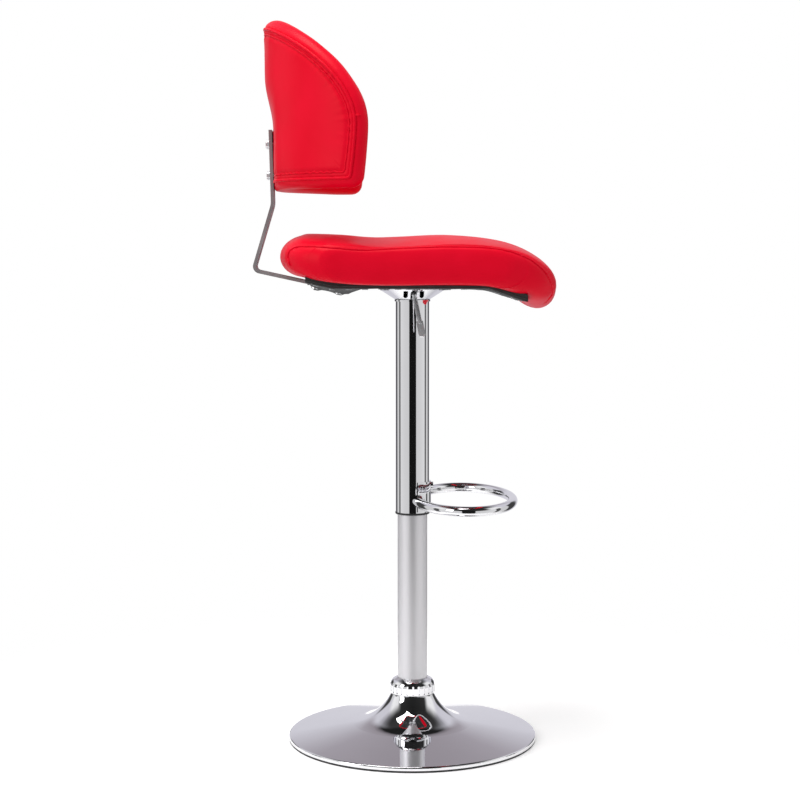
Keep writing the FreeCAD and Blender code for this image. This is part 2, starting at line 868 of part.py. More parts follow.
def seat_board():
    """Moulded ply board, raised at the rear and dropped at the front."""
    screws, up = bar_screw_places()
    board = slab("board_blank", board_line(), number(dim("board_gauge")), dim("board_width"))
    tools = [
        drills("board_nut_holes", PLATE_BOLTS, (0, 0, 1), 4.5, 30.0),
        drills("board_screw_holes", screws, up, 3.0, 17.0),
    ]
    node(less("seat_board_cut", board, fused("board_tools", tools)), "seat_board")
    top = number(dim("board_low")) + number(dim("board_gauge"))
    nut_places = [(x, y, top) for x, y, _ in PLATE_BOLTS]
    node(tee_nuts("board_nuts_group", nut_places, (0, 0, 1), 4.5, 3.0, 9.0, 9.5, 1.4), "board_nuts")
    dust = slab("dust_blank", board_line(0.85), number(dim("dust_gauge")), dim("board_width") - 8.0)
    tools = [
        drills("dust_plate_holes", PLATE_BOLTS, (0, 0, 1), 3.0, 30.0),
        drills("dust_screw_holes", screws, up, 3.0, 17.0),
    ]
    node(less("dust_cover_cut", dust, fused("dust_tools", tools)), "dust_cover")
    node(bolts("bar_screws_group", screws, up, 6.0, 5.0, 3.0, 16.0), "bar_screws")
    return nut_places


def spline_outline(points, tail):
    """A face in the YZ plane bounded by a smooth curve and a straight tail back to its start."""
    curve = Part.BSplineCurve()
    curve.interpolate([FreeCAD.Vector(0, y, z) for y, z in points])
    corners = [points[-1]] + tail + [points[0]]
    back = Part.makePolygon([FreeCAD.Vector(0, y, z) for y, z in corners])
    return Part.Face(Part.Wire([curve.toShape()] + back.Edges))


def cushion_loaf(name, width, corner, shrink):
    """Side profile of the cushion padded across and rounded in plan; shrink draws it in a little."""
    rear_y, rear_z = board_line()[3]
    front_y, front_z = board_line()[0]
    lip = 6.0
    crown = [
        (rear_y + 14.0, rear_z + lip + 4.0), (198.0, 733.0), (204.0, 748.0), (198.5, 770.0), (174.0, 783.0),
        (65.0, 776.5), (-43.0, 781.0), (-112.0, 776.0), (-147.0, 770.0), (-180.0, 757.5), (-205.0, 739.0),
        (-219.0, 714.0), (-220.0, 690.0), (-205.0, 671.0), (-190.0, 670.0),
        (front_y - 5.0, front_z + lip - 2.0),
    ]
    tail = [(y, z + lip) for y, z in board_line()[1:3]]
    side = spline_outline(crown, tail)
    side.translate(FreeCAD.Vector(-width / 2, 0, 0))
    shape = side.extrude(FreeCAD.Vector(width, 0, 0))
    board_top = number(dim("board_low")) + number(dim("board_gauge"))
    squeeze = FreeCAD.Matrix()
    squeeze.scale(1.0, 1 - shrink / 212.0, 1 - shrink / 66.0)
    squeeze.move(FreeCAD.Vector(0, 0, board_top * shrink / 66.0))
    loaf = feature(name + "_loaf", shape.transformGeometry(squeeze))
    half = width / 2
    rear, front = 206.0 - shrink, -224.0 + shrink
    corners = [
        (-half + corner, front),
        (half - corner, front, corner),
        (half, front + corner),
        (half, rear - corner, corner),
        (half - corner, rear),
        (-half + corner, rear, corner),
        (-half, rear - corner),
        (-half, front + corner, corner),
    ]
    plan = new_body(name + "_plan")
    sketch = new_sketch(plan, "XY_Plane", name + "_plan_profile")
    outline(sketch, corners)
    pad = plan.newObject("PartDesign::Pad", name + "_plan_pad")
    pad.Profile = sketch
    pad.Length = 200
    plan.Placement.Base = FreeCAD.Vector(0, 0, 620)
    return shared(name + "_rounded", loaf, plan)


def seat_cushion(nut_places):
    """Foam on the board, and the sewn cover drawn over it."""
    width, corner = number(dim("seat_width")), number(dim("seat_corner"))
    skin = number(dim("cover_gauge"))
    whole = cushion_loaf("cover", width, corner, 0.0)
    core = cushion_loaf("foam", width - 2 * skin, corner - skin, skin)
    pockets = drills("cushion_nut_pockets", nut_places, (0, 0, 1), 9.5, 1.8, -0.2)
    screws, up = bar_screw_places()
    clear = slab("board_space", board_line(), number(dim("board_gauge")), dim("board_width"))
    room = drills("cushion_screw_room", screws, up, 3.0, 18.0)
    tools = fused("cushion_tools", [clear, pockets, room])
    foam = less("seat_foam_cut", core, tools)
    node(foam, "seat_foam")
    node(less("seat_cover_cut", less("cover_open", whole, tools), core), "seat_cover")


# ---- back ----------------------------------------------------------------------------------------

BACK_BOLTS_Z = (921.0, 874.0)


BAR_UPRIGHT = [(213.0, 830.0), (216.0, 942.0)]
BACK_BOLT_HEAD_RAD = 6.2


def bar_lean():
    """How far the bar's upright leans back for each millimetre it rises."""
    (low_y, low_z), (high_y, high_z) = BAR_UPRIGHT
    return (high_y - low_y) / (high_z - low_z)


def bar_rear(height):
    """Y of the bar's rear face behind the back."""
    low_y, low_z = BAR_UPRIGHT[0]
    return low_y + (height - low_z) * bar_lean() + number(dim("bar_gauge")) / 2


def back_bolt_places():
    """Where the bolt heads rest: level heads touch the leaning bar on their lower edge."""
    side = number(dim("bolt_half_gap"))
    clear = BACK_BOLT_HEAD_RAD * bar_lean() + 0.03
    return [(x, bar_rear(z) + clear, z) for z in BACK_BOLTS_Z for x in (-side, side)]


def back_bar():
    """Flat steel bar from under the seat, round behind it and up to the back."""
    route = [
        (0.0, BAR_END, bar_height(BAR_END)),
        (0.0, *BAR_CORNER),
        (0.0, *BAR_UPRIGHT[0]),
        (0.0, *BAR_UPRIGHT[1]),
    ]
    spine = feature("bar_spine", rounded_wire(route, [8.5, 30.0]))
    section = DOC.addObject("Part::Plane", "bar_section_plane")
    bind(section, "Length", dim("bar_width"))
    bind(section, "Width", dim("bar_gauge"))
    first = FreeCAD.Vector(*route[1]) - FreeCAD.Vector(*route[0])
    turn = FreeCAD.Rotation(FreeCAD.Vector(1, 0, 0), FreeCAD.Vector(0, -first.z, first.y), first, "ZXY")
    shift = turn.multVec(FreeCAD.Vector(-number(dim("bar_width")) / 2, -number(dim("bar_gauge")) / 2, 0))
    section.Placement = FreeCAD.Placement(FreeCAD.Vector(*route[0]) + shift, turn)
    blank = swept("bar_blank", spine, section)
    screws, up = bar_screw_places()
    tools = [
        drills("bar_screw_holes", screws, up, 3.0, 12.0, -3.0),
        drills("bar_bolt_holes", back_bolt_places(), (0, -1, 0), 3.0, 12.0, -3.0),
    ]
    node(less("back_bar_cut", blank, fused("bar_tools", tools)), "back_bar")
    places = back_bolt_places()
    node(bolts("back_bolts_group", places, (0, -1, 0), BACK_BOLT_HEAD_RAD, 5.0, 3.0, 16.0), "back_bolts")


BACK_EDGE = [
    (212.0, 1110.0), (191.0, 1101.0), (167.0, 1084.0), (134.0, 1057.0), (96.5, 1019.0),
    (79.0, 995.0), (68.5, 970.0), (63.0, 940.0), (63.0, 885.0), (66.0, 862.0), (74.0, 845.0),
]


def back_side(name, inset):
    """Side elevation of the back, less an inset all round, padded across."""
    low = number(dim("back_low")) + inset
    points = [(y + inset, z - inset) for y, z in BACK_EDGE[:-1]] + [(74.0 + inset, low)]
    curve = Part.BSplineCurve()
    curve.interpolate([FreeCAD.Vector(-250, y, z) for y, z in points])
    corners = [points[-1], (240.0, low), (240.0, points[0][1]), points[0]]
    back = Part.makePolygon([FreeCAD.Vector(-250, y, z) for y, z in corners])
    face = Part.Face(Part.Wire([curve.toShape()] + back.Edges))
    return feature(name, face.extrude(FreeCAD.Vector(500, 0, 0)))


def back_layer(name, inner, outer, inset):
    """One curved layer of the back, wrapped about the column's axis."""
    low, high = dim("back_low"), dim("back_high")
    wrap = ring(name + "_wrap", inner, outer, low, high)
    return shared(name + "_layer", wrap, back_side(name + "_side", inset))


PLY_INSET = 12.0


def back_parts():
    """Curved ply with foam on both faces in one sewn sleeve, and the tee nuts for the bar's bolts."""
    skin = dim("cover_gauge")
    inset = number(skin)
    mid, far = dim("ply_front_rad"), dim("ply_rear_rad")
    nut_face = number(mid) - 0.6
    nut_places = [(x, nut_face, z) for x, _, z in back_bolt_places()]
    room = number(dim("bar_width")) / 2 + 1.0
    channel = box("bar_channel", (-room, 210.2, 830.0), (room, 240.0, 946.0))
    barrels = drills("back_barrels", nut_places, (0, -1, 0), 4.5, 40.0, -35.0)
    seats = drills("back_nut_seats", nut_places, (0, -1, 0), 9.0, 2.6, 0.0)
    tools = fused("back_tools", [channel, barrels, seats])

    sleeve = back_layer("sleeve", dim("pad_front_rad"), dim("pad_rear_rad"), 0.0)
    core = back_layer("core", dim("pad_front_rad") + skin, dim("pad_rear_rad") - skin, inset)
    node(less("back_cover_cut", less("sleeve_open", sleeve, core), tools), "back_cover")
    front = back_layer("front", dim("pad_front_rad") + skin, mid, inset)
    node(less("back_front_foam_cut", front, tools), "back_front_foam")
    ply = back_layer("ply", mid, far, PLY_INSET)
    node(less("back_ply_cut", ply, tools), "back_ply")
    rear = back_layer("rear", far, dim("pad_rear_rad") - skin, inset)
    node(less("back_rear_foam_cut", rear, tools), "back_rear_foam")
    node(tee_nuts("back_nuts_group", nut_places, (0, -1, 0), 4.5, 3.0, 7.4, 9.0, 1.4), "back_nuts")


# ---- build, check and write ----------------------------------------------------------------------

base_shell()
floor_ring()
base_inside()
collar()
column()
thrust_bearing()
gas_rod()
gas_cylinder()
cover_tube()
dome_cover()
taper_socket()
mount_plate()
lever_parts()
footrest()
seat_cushion(seat_board())
back_bar()
back_parts()

DOC.recompute()
faults = []
for item in DOC.Objects:
    if "Invalid" in item.State or "Error" in item.State:
        faults.append(f"{item.Name}: {item.State}")
for item in NODES:
    if item.Shape.isNull() or not item.Shape.isValid():
        faults.append(f"{item.Label}: its shape is null or not valid")
if faults:
    raise SystemExit("\n".join(faults))

os.makedirs("parts", exist_ok=True)
for item in NODES:
    item.Shape.exportStep(os.path.join("parts", item.Label + ".step"))
    print(f"{item.Label}: {len(item.Shape.Solids)} solid(s), {item.Shape.Volume / 1000:.2f} cm3")
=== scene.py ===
import json
import math

import bmesh
import bpy
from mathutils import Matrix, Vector, noise
from mathutils.bvhtree import BVHTree
from mathutils.kdtree import KDTree


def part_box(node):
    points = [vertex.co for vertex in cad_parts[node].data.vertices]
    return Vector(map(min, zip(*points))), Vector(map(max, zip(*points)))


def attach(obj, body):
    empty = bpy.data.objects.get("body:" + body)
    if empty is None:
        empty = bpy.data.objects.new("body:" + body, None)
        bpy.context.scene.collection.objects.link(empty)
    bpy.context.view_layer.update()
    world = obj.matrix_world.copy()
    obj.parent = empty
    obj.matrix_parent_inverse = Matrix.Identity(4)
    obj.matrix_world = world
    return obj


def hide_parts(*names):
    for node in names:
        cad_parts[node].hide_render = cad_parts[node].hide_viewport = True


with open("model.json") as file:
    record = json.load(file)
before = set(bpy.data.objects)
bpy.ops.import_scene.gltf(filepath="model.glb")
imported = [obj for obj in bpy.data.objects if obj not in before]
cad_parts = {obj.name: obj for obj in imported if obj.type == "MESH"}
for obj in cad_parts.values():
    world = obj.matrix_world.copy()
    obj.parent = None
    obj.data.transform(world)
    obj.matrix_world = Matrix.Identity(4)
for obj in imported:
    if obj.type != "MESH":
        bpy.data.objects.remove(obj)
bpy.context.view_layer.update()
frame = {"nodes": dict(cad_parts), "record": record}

# Looks of a height-adjustable swivel stool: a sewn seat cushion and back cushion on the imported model,
# with the cloth under the seat, the seams, and a material for every metal, rubber and wooden part.
# Lengths are in metres. The front of the stool faces -Y, and the column stands on the Z axis.

MM = 0.001

# ---- seat, as a thick sheet that follows a curve from its rear to its front ------------------------

SEAT_HALF_WIDTH = 214 * MM
SEAT_CORNER = 62 * MM
SEAT_FRONT_BOW = 57 * MM
SEAT_REAR_BOW = 22 * MM
# centre of the padding seen from the side (Y, Z) and half its thickness there, from rear to front
SEAT_LINE = [
    (172, 752, 30), (110, 746, 34), (50, 742.5, 33.5), (-45, 744.5, 35.5), (-105, 742, 35),
    (-145, 732.5, 34.5), (-172, 718, 32.0), (-190.5, 697, 26.5),
]
SEAT_CROWN = 13 * MM
SEAT_TUCK = 2.5 * MM
SEAT_FILLET = 11 * MM
SEAT_SIDE_BULGE = 1.2 * MM
SEAT_SWELL_CAP = 4 * MM
SEAT_CORD = 1.3 * MM
BOARD_GAP = 0.4 * MM
# the side panel's seam (Y, Z), from the rear round over the top and down the front
SEAT_SEAM = [
    (183, 738), (187, 755), (170, 767), (120, 765), (70, 762), (10, 765), (-60, 767), (-110, 764),
    (-150, 754), (-178, 737), (-196, 715), (-202, 697), (-194, 683),
]

# ---- back, wrapped about the column and described in its developed plane (arc length, height) ------

BACK_RADIUS = 207.5 * MM
BACK_HALF_THICK = 16.8 * MM
BACK_HALF_ARC = 254.5 * MM
BACK_ARCH_POWER = 1.08
BACK_SHOULDER = 941 * MM
BACK_RISE = 165.5 * MM
BACK_LOW = 850 * MM
BACK_CORNER = 18 * MM
BACK_SIDE_LEAN = 6.5 * MM
BACK_PIPING_INSET = 13 * MM
BACK_SEAM_INSET = 22 * MM
BACK_FRONT_INSET = 15 * MM
BACK_FILL_INSET = 42 * MM
BACK_JOINT = 951 * MM
BACK_JOINT_SHARE = 0.55
BACK_SWELL_CAP = 3.5 * MM
BACK_CORD = 2.3 * MM
BACK_SEAM_CORD = 1.4 * MM
BACK_FRONT_CORD = 2.1 * MM
BACK_JOINT_CORD = 1.3 * MM
# where the bar holds the rear padding in: how deep, and over which distances from the middle and heights
BAR_DENT = 12.8 * MM
BAR_DENT_ACROSS = (26 * MM, 100 * MM)
BAR_DENT_UP = (943 * MM, 1022 * MM)
# lengths over which the small gathers at a seam come and go, and over which their spacing wanders
PUCKER_PATCH = 50 * MM
PUCKER_STRAY = 30 * MM


# ---- small helpers ---------------------------------------------------------------------------------

def smooth_step(value, low, high):
    """0 below low, 1 above high and a smooth rise between."""
    share = min(1.0, max(0.0, (value - low) / (high - low)))
    return share * share * (3 - 2 * share)


def spline_through(points, count):
    """count points spaced evenly along a Catmull-Rom curve through the given points."""
    points = [Vector(p) for p in points]
    ends = [points[0] * 2 - points[1]] + points + [points[-1] * 2 - points[-2]]
    fine = []
    steps = 40
    for a, b, c, d in zip(ends, ends[1:], ends[2:], ends[3:]):
        for step in range(steps):
            t = step / steps
            fine.append(0.5 * (2 * b + (c - a) * t + (2 * a - 5 * b + 4 * c - d) * t * t
                               + (3 * b - a - 3 * c + d) * t ** 3))
    fine.append(points[-1])
    lengths = [0.0]
    for a, b in zip(fine, fine[1:]):
        lengths.append(lengths[-1] + (b - a).length)
    spaced, at = [], 0
    for index in range(count):
        want = lengths[-1] * index / (count - 1)
        while at < len(fine) - 2 and lengths[at + 1] < want:
            at += 1
        share = (want - lengths[at]) / max(1e-12, lengths[at + 1] - lengths[at])
        spaced.append(fine[at].lerp(fine[at + 1], share))
    return spaced


def new_object(name, mesh):
    made = bpy.data.objects.new(name, mesh)
    bpy.context.scene.collection.objects.link(made)
    return made


def mesh_object(name, points, faces):
    """A smooth-shaded mesh object whose faces all point outwards."""
    mesh = bpy.data.meshes.new(name)
    mesh.from_pydata([tuple(p) for p in points], [], faces)
    work = bmesh.new()
    work.from_mesh(mesh)
    bmesh.ops.remove_doubles(work, verts=work.verts, dist=1e-5)
    bmesh.ops.recalc_face_normals(work, faces=work.faces)
    work.to_mesh(mesh)
    work.free()
    mesh.polygons.foreach_set("use_smooth", [True] * len(mesh.polygons))
    return new_object(name, mesh)


def apply_modifiers(obj):
    """Turns the object's mesh into what its modifiers make of it."""
    graph = bpy.context.evaluated_depsgraph_get()
    made = bpy.data.meshes.new_from_object(obj.evaluated_get(graph))
    obj.modifiers.clear()
    obj.data = made


def subdivide(obj, levels=1):
    modifier = obj.modifiers.new("subdivide", "SUBSURF")
    modifier.levels = levels
    modifier.render_levels = levels
    apply_modifiers(obj)


def finish_piece(obj, body, paint):
    """Gives a piece its material and makes it ride on its body."""
    obj.data.materials.clear()
    obj.data.materials.append(paint)
    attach(obj, body)


def cord_mesh(name, runs, radius, sides=8):
    """A round cord along each run of points, closed at its ends; a run that is a loop joins up."""
    points, faces = [], []
    for run, closed in runs:
        count = len(run)
        first = len(points)
        across = None
        for index, here in enumerate(run):
            before = run[index - 1] if index or closed else here
            after = run[(index + 1) % count] if closed or index < count - 1 else here
            along = (after - before).normalized()
            if across is None:
                across = along.orthogonal()
            across = (across - along * across.dot(along)).normalized()
            up = along.cross(across)
            for side in range(sides):
                angle = 2 * math.pi * side / sides
                points.append(here + (across * math.cos(angle) + up * math.sin(angle)) * radius)
        for index in range(count if closed else count - 1):
            a, b = first + index * sides, first + (index + 1) % count * sides
            for side in range(sides):
                beside = (side + 1) % sides
                faces.append((a + side, a + beside, b + beside, b + side))
        if not closed:
            faces.append(tuple(first + side for side in range(sides)))
            faces.append(tuple(first + (count - 1) * sides + side for side in range(sides)))
    return mesh_object(name, points, faces)


def surface_of(obj):
    """A tree for finding the nearest point on the object's surface."""
    work = bmesh.new()
    work.from_mesh(obj.data)
    tree = BVHTree.FromBMesh(work)
    work.free()
    return tree


def settled(tree, points, lift):
    """The points moved to the surface and raised off it by lift."""
    result = []
    for point in points:
        place, normal, _, _ = tree.find_nearest(point)
        result.append(place + normal * lift)
    return result


def nearest_tree(points):
    """A tree for finding the nearest of some points."""
    tree = KDTree(len(points))
    for index, point in enumerate(points):
        tree.insert(point, index)
    tree.balance()
    return tree


def editable(obj):
    """The object's mesh, ready for moving its vertices along their normals."""
    work = bmesh.new()
    work.from_mesh(obj.data)
    work.normal_update()
    return work


def press_seams(obj, lines, depth, width):
    """Pulls the surface in along lines of points, as stitching does."""
    work = editable(obj)
    tree = nearest_tree([point for line in lines for point in line])
    for vertex in work.verts:
        _, _, gap = tree.find(vertex.co)
        if gap < width:
            vertex.co -= vertex.normal * depth * (1 - smooth_step(gap, 0, width))
    work.to_mesh(obj.data)
    work.free()


def pucker(obj, line, depth, reach, pitch):
    """Small folds that run away from a seam where the leather is gathered into it."""
    work = editable(obj)
    tree = nearest_tree(line)
    runs = [0.0]
    for before, after in zip(line, line[1:]):
        runs.append(runs[-1] + (after - before).length)
    for vertex in work.verts:
        place, index, gap = tree.find(vertex.co)
        if gap < reach:
            run = runs[index]
            if 0 < index < len(line) - 1:
                along = (line[index + 1] - line[index - 1]).normalized()
                run += (vertex.co - place).dot(along)
            patch = noise.noise(Vector((run / PUCKER_PATCH, 3, 1)))
            strength = 0.35 + 0.65 * smooth_step(patch, -0.3, 0.4)
            stray = 3 * noise.noise(Vector((run / PUCKER_STRAY, 7, 2)))
            phase = 2 * math.pi * run / pitch + stray
            fade = (1 - gap / reach) ** 1.3 * smooth_step(gap, 0, 3 * MM)
            vertex.co += vertex.normal * depth * strength * math.sin(phase) * fade
    work.to_mesh(obj.data)
    work.free()


def puff(obj, pinned, cap, pressure=3.0, frames=20):
    """Swells the padding with a cloth simulation that the seams hold, and applies it."""
    rest = [v.co.copy() for v in obj.data.vertices]
    held = obj.vertex_groups.new(name="held")
    for index, weight in pinned.items():
        held.add([index], weight, "REPLACE")
    cloth = obj.modifiers.new("cloth", "CLOTH")
    cloth.settings.quality = 6
    cloth.settings.mass = 0.3
    cloth.settings.tension_stiffness = 12
    cloth.settings.compression_stiffness = 12
    cloth.settings.shear_stiffness = 8
    cloth.settings.bending_stiffness = 0.4
    cloth.settings.use_pressure = True
    cloth.settings.uniform_pressure_force = pressure
    cloth.settings.vertex_group_mass = "held"
    cloth.settings.effector_weights.gravity = 0
    cloth.collision_settings.use_collision = False
    scene = bpy.context.scene
    cloth.point_cache.frame_start = 1
    cloth.point_cache.frame_end = frames
    for number in range(1, frames + 1):
        scene.frame_set(number)
    apply_modifiers(obj)
    scene.frame_set(1)
    obj.vertex_groups.clear()
    for vertex, start in zip(obj.data.vertices, rest):
        move = vertex.co - start
        if move.length > cap:
            vertex.co = start + move * (cap / move.length)


def creased(obj, size, depth, seed):
    """Moves the surface in and out a little, as leather drawn over foam is never quite even."""
    work = editable(obj)
    shift = Vector((seed, seed * 2, seed * 3))
    for vertex in work.verts:
        vertex.co += vertex.normal * depth * noise.fractal(vertex.co / size + shift, 0.9, 2.0, 3)
    work.to_mesh(obj.data)
    work.free()


# ---- materials ---------------------------------------------------------------------------------------

def new_material(name, colour, metallic, rough):
    """A node material with a Principled shader, and the node tree to add detail to."""
    made = bpy.data.materials.new(name)
    made.use_nodes = True
    shader = made.node_tree.nodes["Principled BSDF"]
    shader.inputs["Base Color"].default_value = (*colour, 1)
    shader.inputs["Metallic"].default_value = metallic
    shader.inputs["Roughness"].default_value = rough
    made.diffuse_color = (*colour, 1)
    return made, made.node_tree, shader


def noise_node(tree, scale, detail=3.0, stretch=(1, 1, 1)):
    """Noise over the object's own coordinates, stretched along the axes."""
    place = tree.nodes.new("ShaderNodeTexCoord")
    mapping = tree.nodes.new("ShaderNodeMapping")
    mapping.inputs["Scale"].default_value = stretch
    grain = tree.nodes.new("ShaderNodeTexNoise")
    grain.inputs["Scale"].default_value = scale
    grain.inputs["Detail"].default_value = detail
    tree.links.new(place.outputs["Object"], mapping.inputs["Vector"])
    tree.links.new(mapping.outputs["Vector"], grain.inputs["Vector"])
    return grain


def vary_colour(tree, shader, source, first, second, low=0.3, high=0.7):
    """The base colour runs from first to second as the source rises from low to high."""
    ramp = tree.nodes.new("ShaderNodeValToRGB")
    ramp.color_ramp.elements[0].position = low
    ramp.color_ramp.elements[0].color = (*first, 1)
    ramp.color_ramp.elements[1].position = high
    ramp.color_ramp.elements[1].color = (*second, 1)
    tree.links.new(source, ramp.inputs["Fac"])
    tree.links.new(ramp.outputs["Color"], shader.inputs["Base Color"])


def vary_rough(tree, shader, source, low, high):
    """The roughness runs from low to high over the source's middle range."""
    spread = tree.nodes.new("ShaderNodeMapRange")
    spread.inputs["From Min"].default_value = 0.3
    spread.inputs["From Max"].default_value = 0.7
    spread.inputs["To Min"].default_value = low
    spread.inputs["To Max"].default_value = high
    tree.links.new(source, spread.inputs["Value"])
    tree.links.new(spread.outputs["Result"], shader.inputs["Roughness"])


def add_bump(tree, shader, source, strength, depth):
    bump = tree.nodes.new("ShaderNodeBump")
    bump.inputs["Strength"].default_value = strength
    bump.inputs["Distance"].default_value = depth
    tree.links.new(source, bump.inputs["Height"])
    tree.links.new(bump.outputs["Normal"], shader.inputs["Normal"])


def metal(name, dark, light, rough_low, rough_high, scale=9.0, stretch=(1, 1, 1), metallic=1.0):
    """Metal or plating: two shades and two polishes that drift, with a very slight unevenness."""
    made, tree, shader = new_material(name, light, metallic, rough_low)
    cloud = noise_node(tree, scale, 4.0, stretch)
    vary_colour(tree, shader, cloud.outputs["Fac"], dark, light)
    vary_rough(tree, shader, cloud.outputs["Fac"], rough_low, rough_high)
    fine = noise_node(tree, scale * 9, 2.0, stretch)
    add_bump(tree, shader, fine.outputs["Fac"], 0.02, 0.2 * MM)
    return made


def plain(name, dark, light, rough_low, rough_high, scale, grain_scale, bump):
    """Rubber, plastic, paint or wood: two shades, uneven gloss and a fine grain."""
    made, tree, shader = new_material(name, light, 0.0, rough_low)
    cloud = noise_node(tree, scale, 4.0)
    vary_colour(tree, shader, cloud.outputs["Fac"], dark, light)
    vary_rough(tree, shader, cloud.outputs["Fac"], rough_low, rough_high)
    grain = noise_node(tree, grain_scale, 3.0)
    add_bump(tree, shader, grain.outputs["Fac"], bump, 0.3 * MM)
    return made


def leather():
    """Smooth synthetic leather: even red with a faint mottle, a pebbled grain and a soft gloss."""
    made, tree, shader = new_material("red_leather", (0.70, 0.001, 0.018), 0.0, 0.4)
    cloud = noise_node(tree, 14, 5.0)
    vary_colour(tree, shader, cloud.outputs["Fac"], (0.68, 0.0008, 0.016), (0.74, 0.0015, 0.021))
    vary_rough(tree, shader, cloud.outputs["Fac"], 0.34, 0.45)
    shader.inputs["Specular IOR Level"].default_value = 0.08
    shader.inputs["Specular Tint"].default_value = (1.0, 0.72, 0.60, 1)
    place = tree.nodes.new("ShaderNodeTexCoord")
    pebble = tree.nodes.new("ShaderNodeTexVoronoi")
    pebble.inputs["Scale"].default_value = 750
    tree.links.new(place.outputs["Object"], pebble.inputs["Vector"])
    ripple = noise_node(tree, 60, 3.0)
    both = tree.nodes.new("ShaderNodeMath")
    both.operation = "MULTIPLY_ADD"
    both.inputs[1].default_value = 0.35
    tree.links.new(pebble.outputs["Distance"], both.inputs[0])
    tree.links.new(ripple.outputs["Fac"], both.inputs[2])
    add_bump(tree, shader, both.outputs["Value"], 0.16, 0.5 * MM)
    return made


def black_cloth():
    """Thin spun cloth: black with a fine crossed dimple pattern."""
    made, tree, shader = new_material("black_cloth", (0.02, 0.02, 0.021), 0.0, 0.85)
    cloud = noise_node(tree, 22, 5.0)
    vary_colour(tree, shader, cloud.outputs["Fac"], (0.012, 0.012, 0.013), (0.035, 0.036, 0.037))
    shader.inputs["Sheen Weight"].default_value = 0.15
    place = tree.nodes.new("ShaderNodeTexCoord")
    waves = []
    for axis in ("X", "Y"):
        wave = tree.nodes.new("ShaderNodeTexWave")
        wave.bands_direction = axis
        wave.inputs["Scale"].default_value = 220
        tree.links.new(place.outputs["Object"], wave.inputs["Vector"])
        waves.append(wave)
    both = tree.nodes.new("ShaderNodeMath")
    both.operation = "MULTIPLY"
    tree.links.new(waves[0].outputs["Fac"], both.inputs[0])
    tree.links.new(waves[1].outputs["Fac"], both.inputs[1])
    add_bump(tree, shader, both.outputs["Value"], 0.5, 0.4 * MM)
    return made


PAINTS = {
    "bright_chrome": metal("bright_chrome", (0.80, 0.80, 0.82), (0.84, 0.84, 0.86), 0.02, 0.05),
    "satin_steel": metal("satin_steel", (0.72, 0.71, 0.73), (0.79, 0.78, 0.81), 0.40, 0.47,
                         40, (1, 1, 0.03), metallic=0.72),
    "grey_steel": metal("grey_steel", (0.24, 0.235, 0.24), (0.31, 0.305, 0.31), 0.45, 0.58,
                        60, (1, 1, 0.2), metallic=0.35),
    "plain_steel": metal("plain_steel", (0.42, 0.42, 0.44), (0.52, 0.52, 0.54), 0.28, 0.42, 30),
    "black_steel": plain("black_steel", (0.012, 0.012, 0.013), (0.022, 0.022, 0.024), 0.35, 0.5,
                         20, 400, 0.1),
    "black_plastic": plain("black_plastic", (0.010, 0.010, 0.011), (0.018, 0.018, 0.019), 0.4, 0.55,
                           30, 600, 0.1),
    "black_rubber": plain("black_rubber", (0.008, 0.007, 0.009), (0.016, 0.015, 0.017), 0.55, 0.7,
                          40, 500, 0.15),
    "cast_weight": plain("cast_weight", (0.05, 0.05, 0.052), (0.10, 0.10, 0.10), 0.6, 0.8, 60, 300, 0.4),
    "black_board": plain("black_board", (0.014, 0.014, 0.014), (0.03, 0.029, 0.028), 0.6, 0.75,
                         30, 350, 0.2),
    "pale_ply": plain("pale_ply", (0.46, 0.32, 0.19), (0.62, 0.46, 0.30), 0.55, 0.7, 25, 200, 0.2),
    "foam": plain("foam", (0.62, 0.56, 0.36), (0.72, 0.66, 0.45), 0.8, 0.95, 50, 900, 0.4),
    "black_cloth": black_cloth(),
    "red_leather": leather(),
}

# the lever and the bolts keep their slots, with the softer shine of small plated pieces
SOFT_CHROME = metal("soft_chrome", (0.82, 0.82, 0.84), (0.90, 0.90, 0.92), 0.20, 0.28, 25, metallic=0.5)
SOFT_NODES = ("height_lever", "back_bolts", "bar_screws")

for part in frame["record"]["subparts"]:
    node = frame["nodes"][part["node"]]
    paint = SOFT_CHROME if part["node"] in SOFT_NODES else PAINTS[part["material_slot"]]
    node.data.materials.clear()
    node.data.materials.append(paint)


# ---- seat cushion ------------------------------------------------------------------------------------

def seat_sections():
    """Sections from rear to front: middle, forward direction, upward normal and half thickness."""
    line = spline_through([(y * MM, z * MM, half * MM) for y, z, half in SEAT_LINE], 240)
    sections = []
    for index, here in enumerate(line):
        before, after = line[max(0, index - 1)], line[min(len(line) - 1, index + 1)]
        along = Vector((0, after.x - before.x, after.y - before.y)).normalized()
        up = Vector((0, -along.z, along.y))
        if up.z < 0:
            up = -up
        sections.append((Vector((0, here.x, here.y)), along, up, here.z))
    return sections


def section_at(sections, share):
    """The section at a share of the way from rear to front, blended from its neighbours."""
    place = min(max(share, 0.0), 1.0) * (len(sections) - 1)
    index = min(int(place), len(sections) - 2)
    part = place - index
    low, high = sections[index], sections[index + 1]
    return tuple(a * (1 - part) + b * part for a, b in zip(low, high))


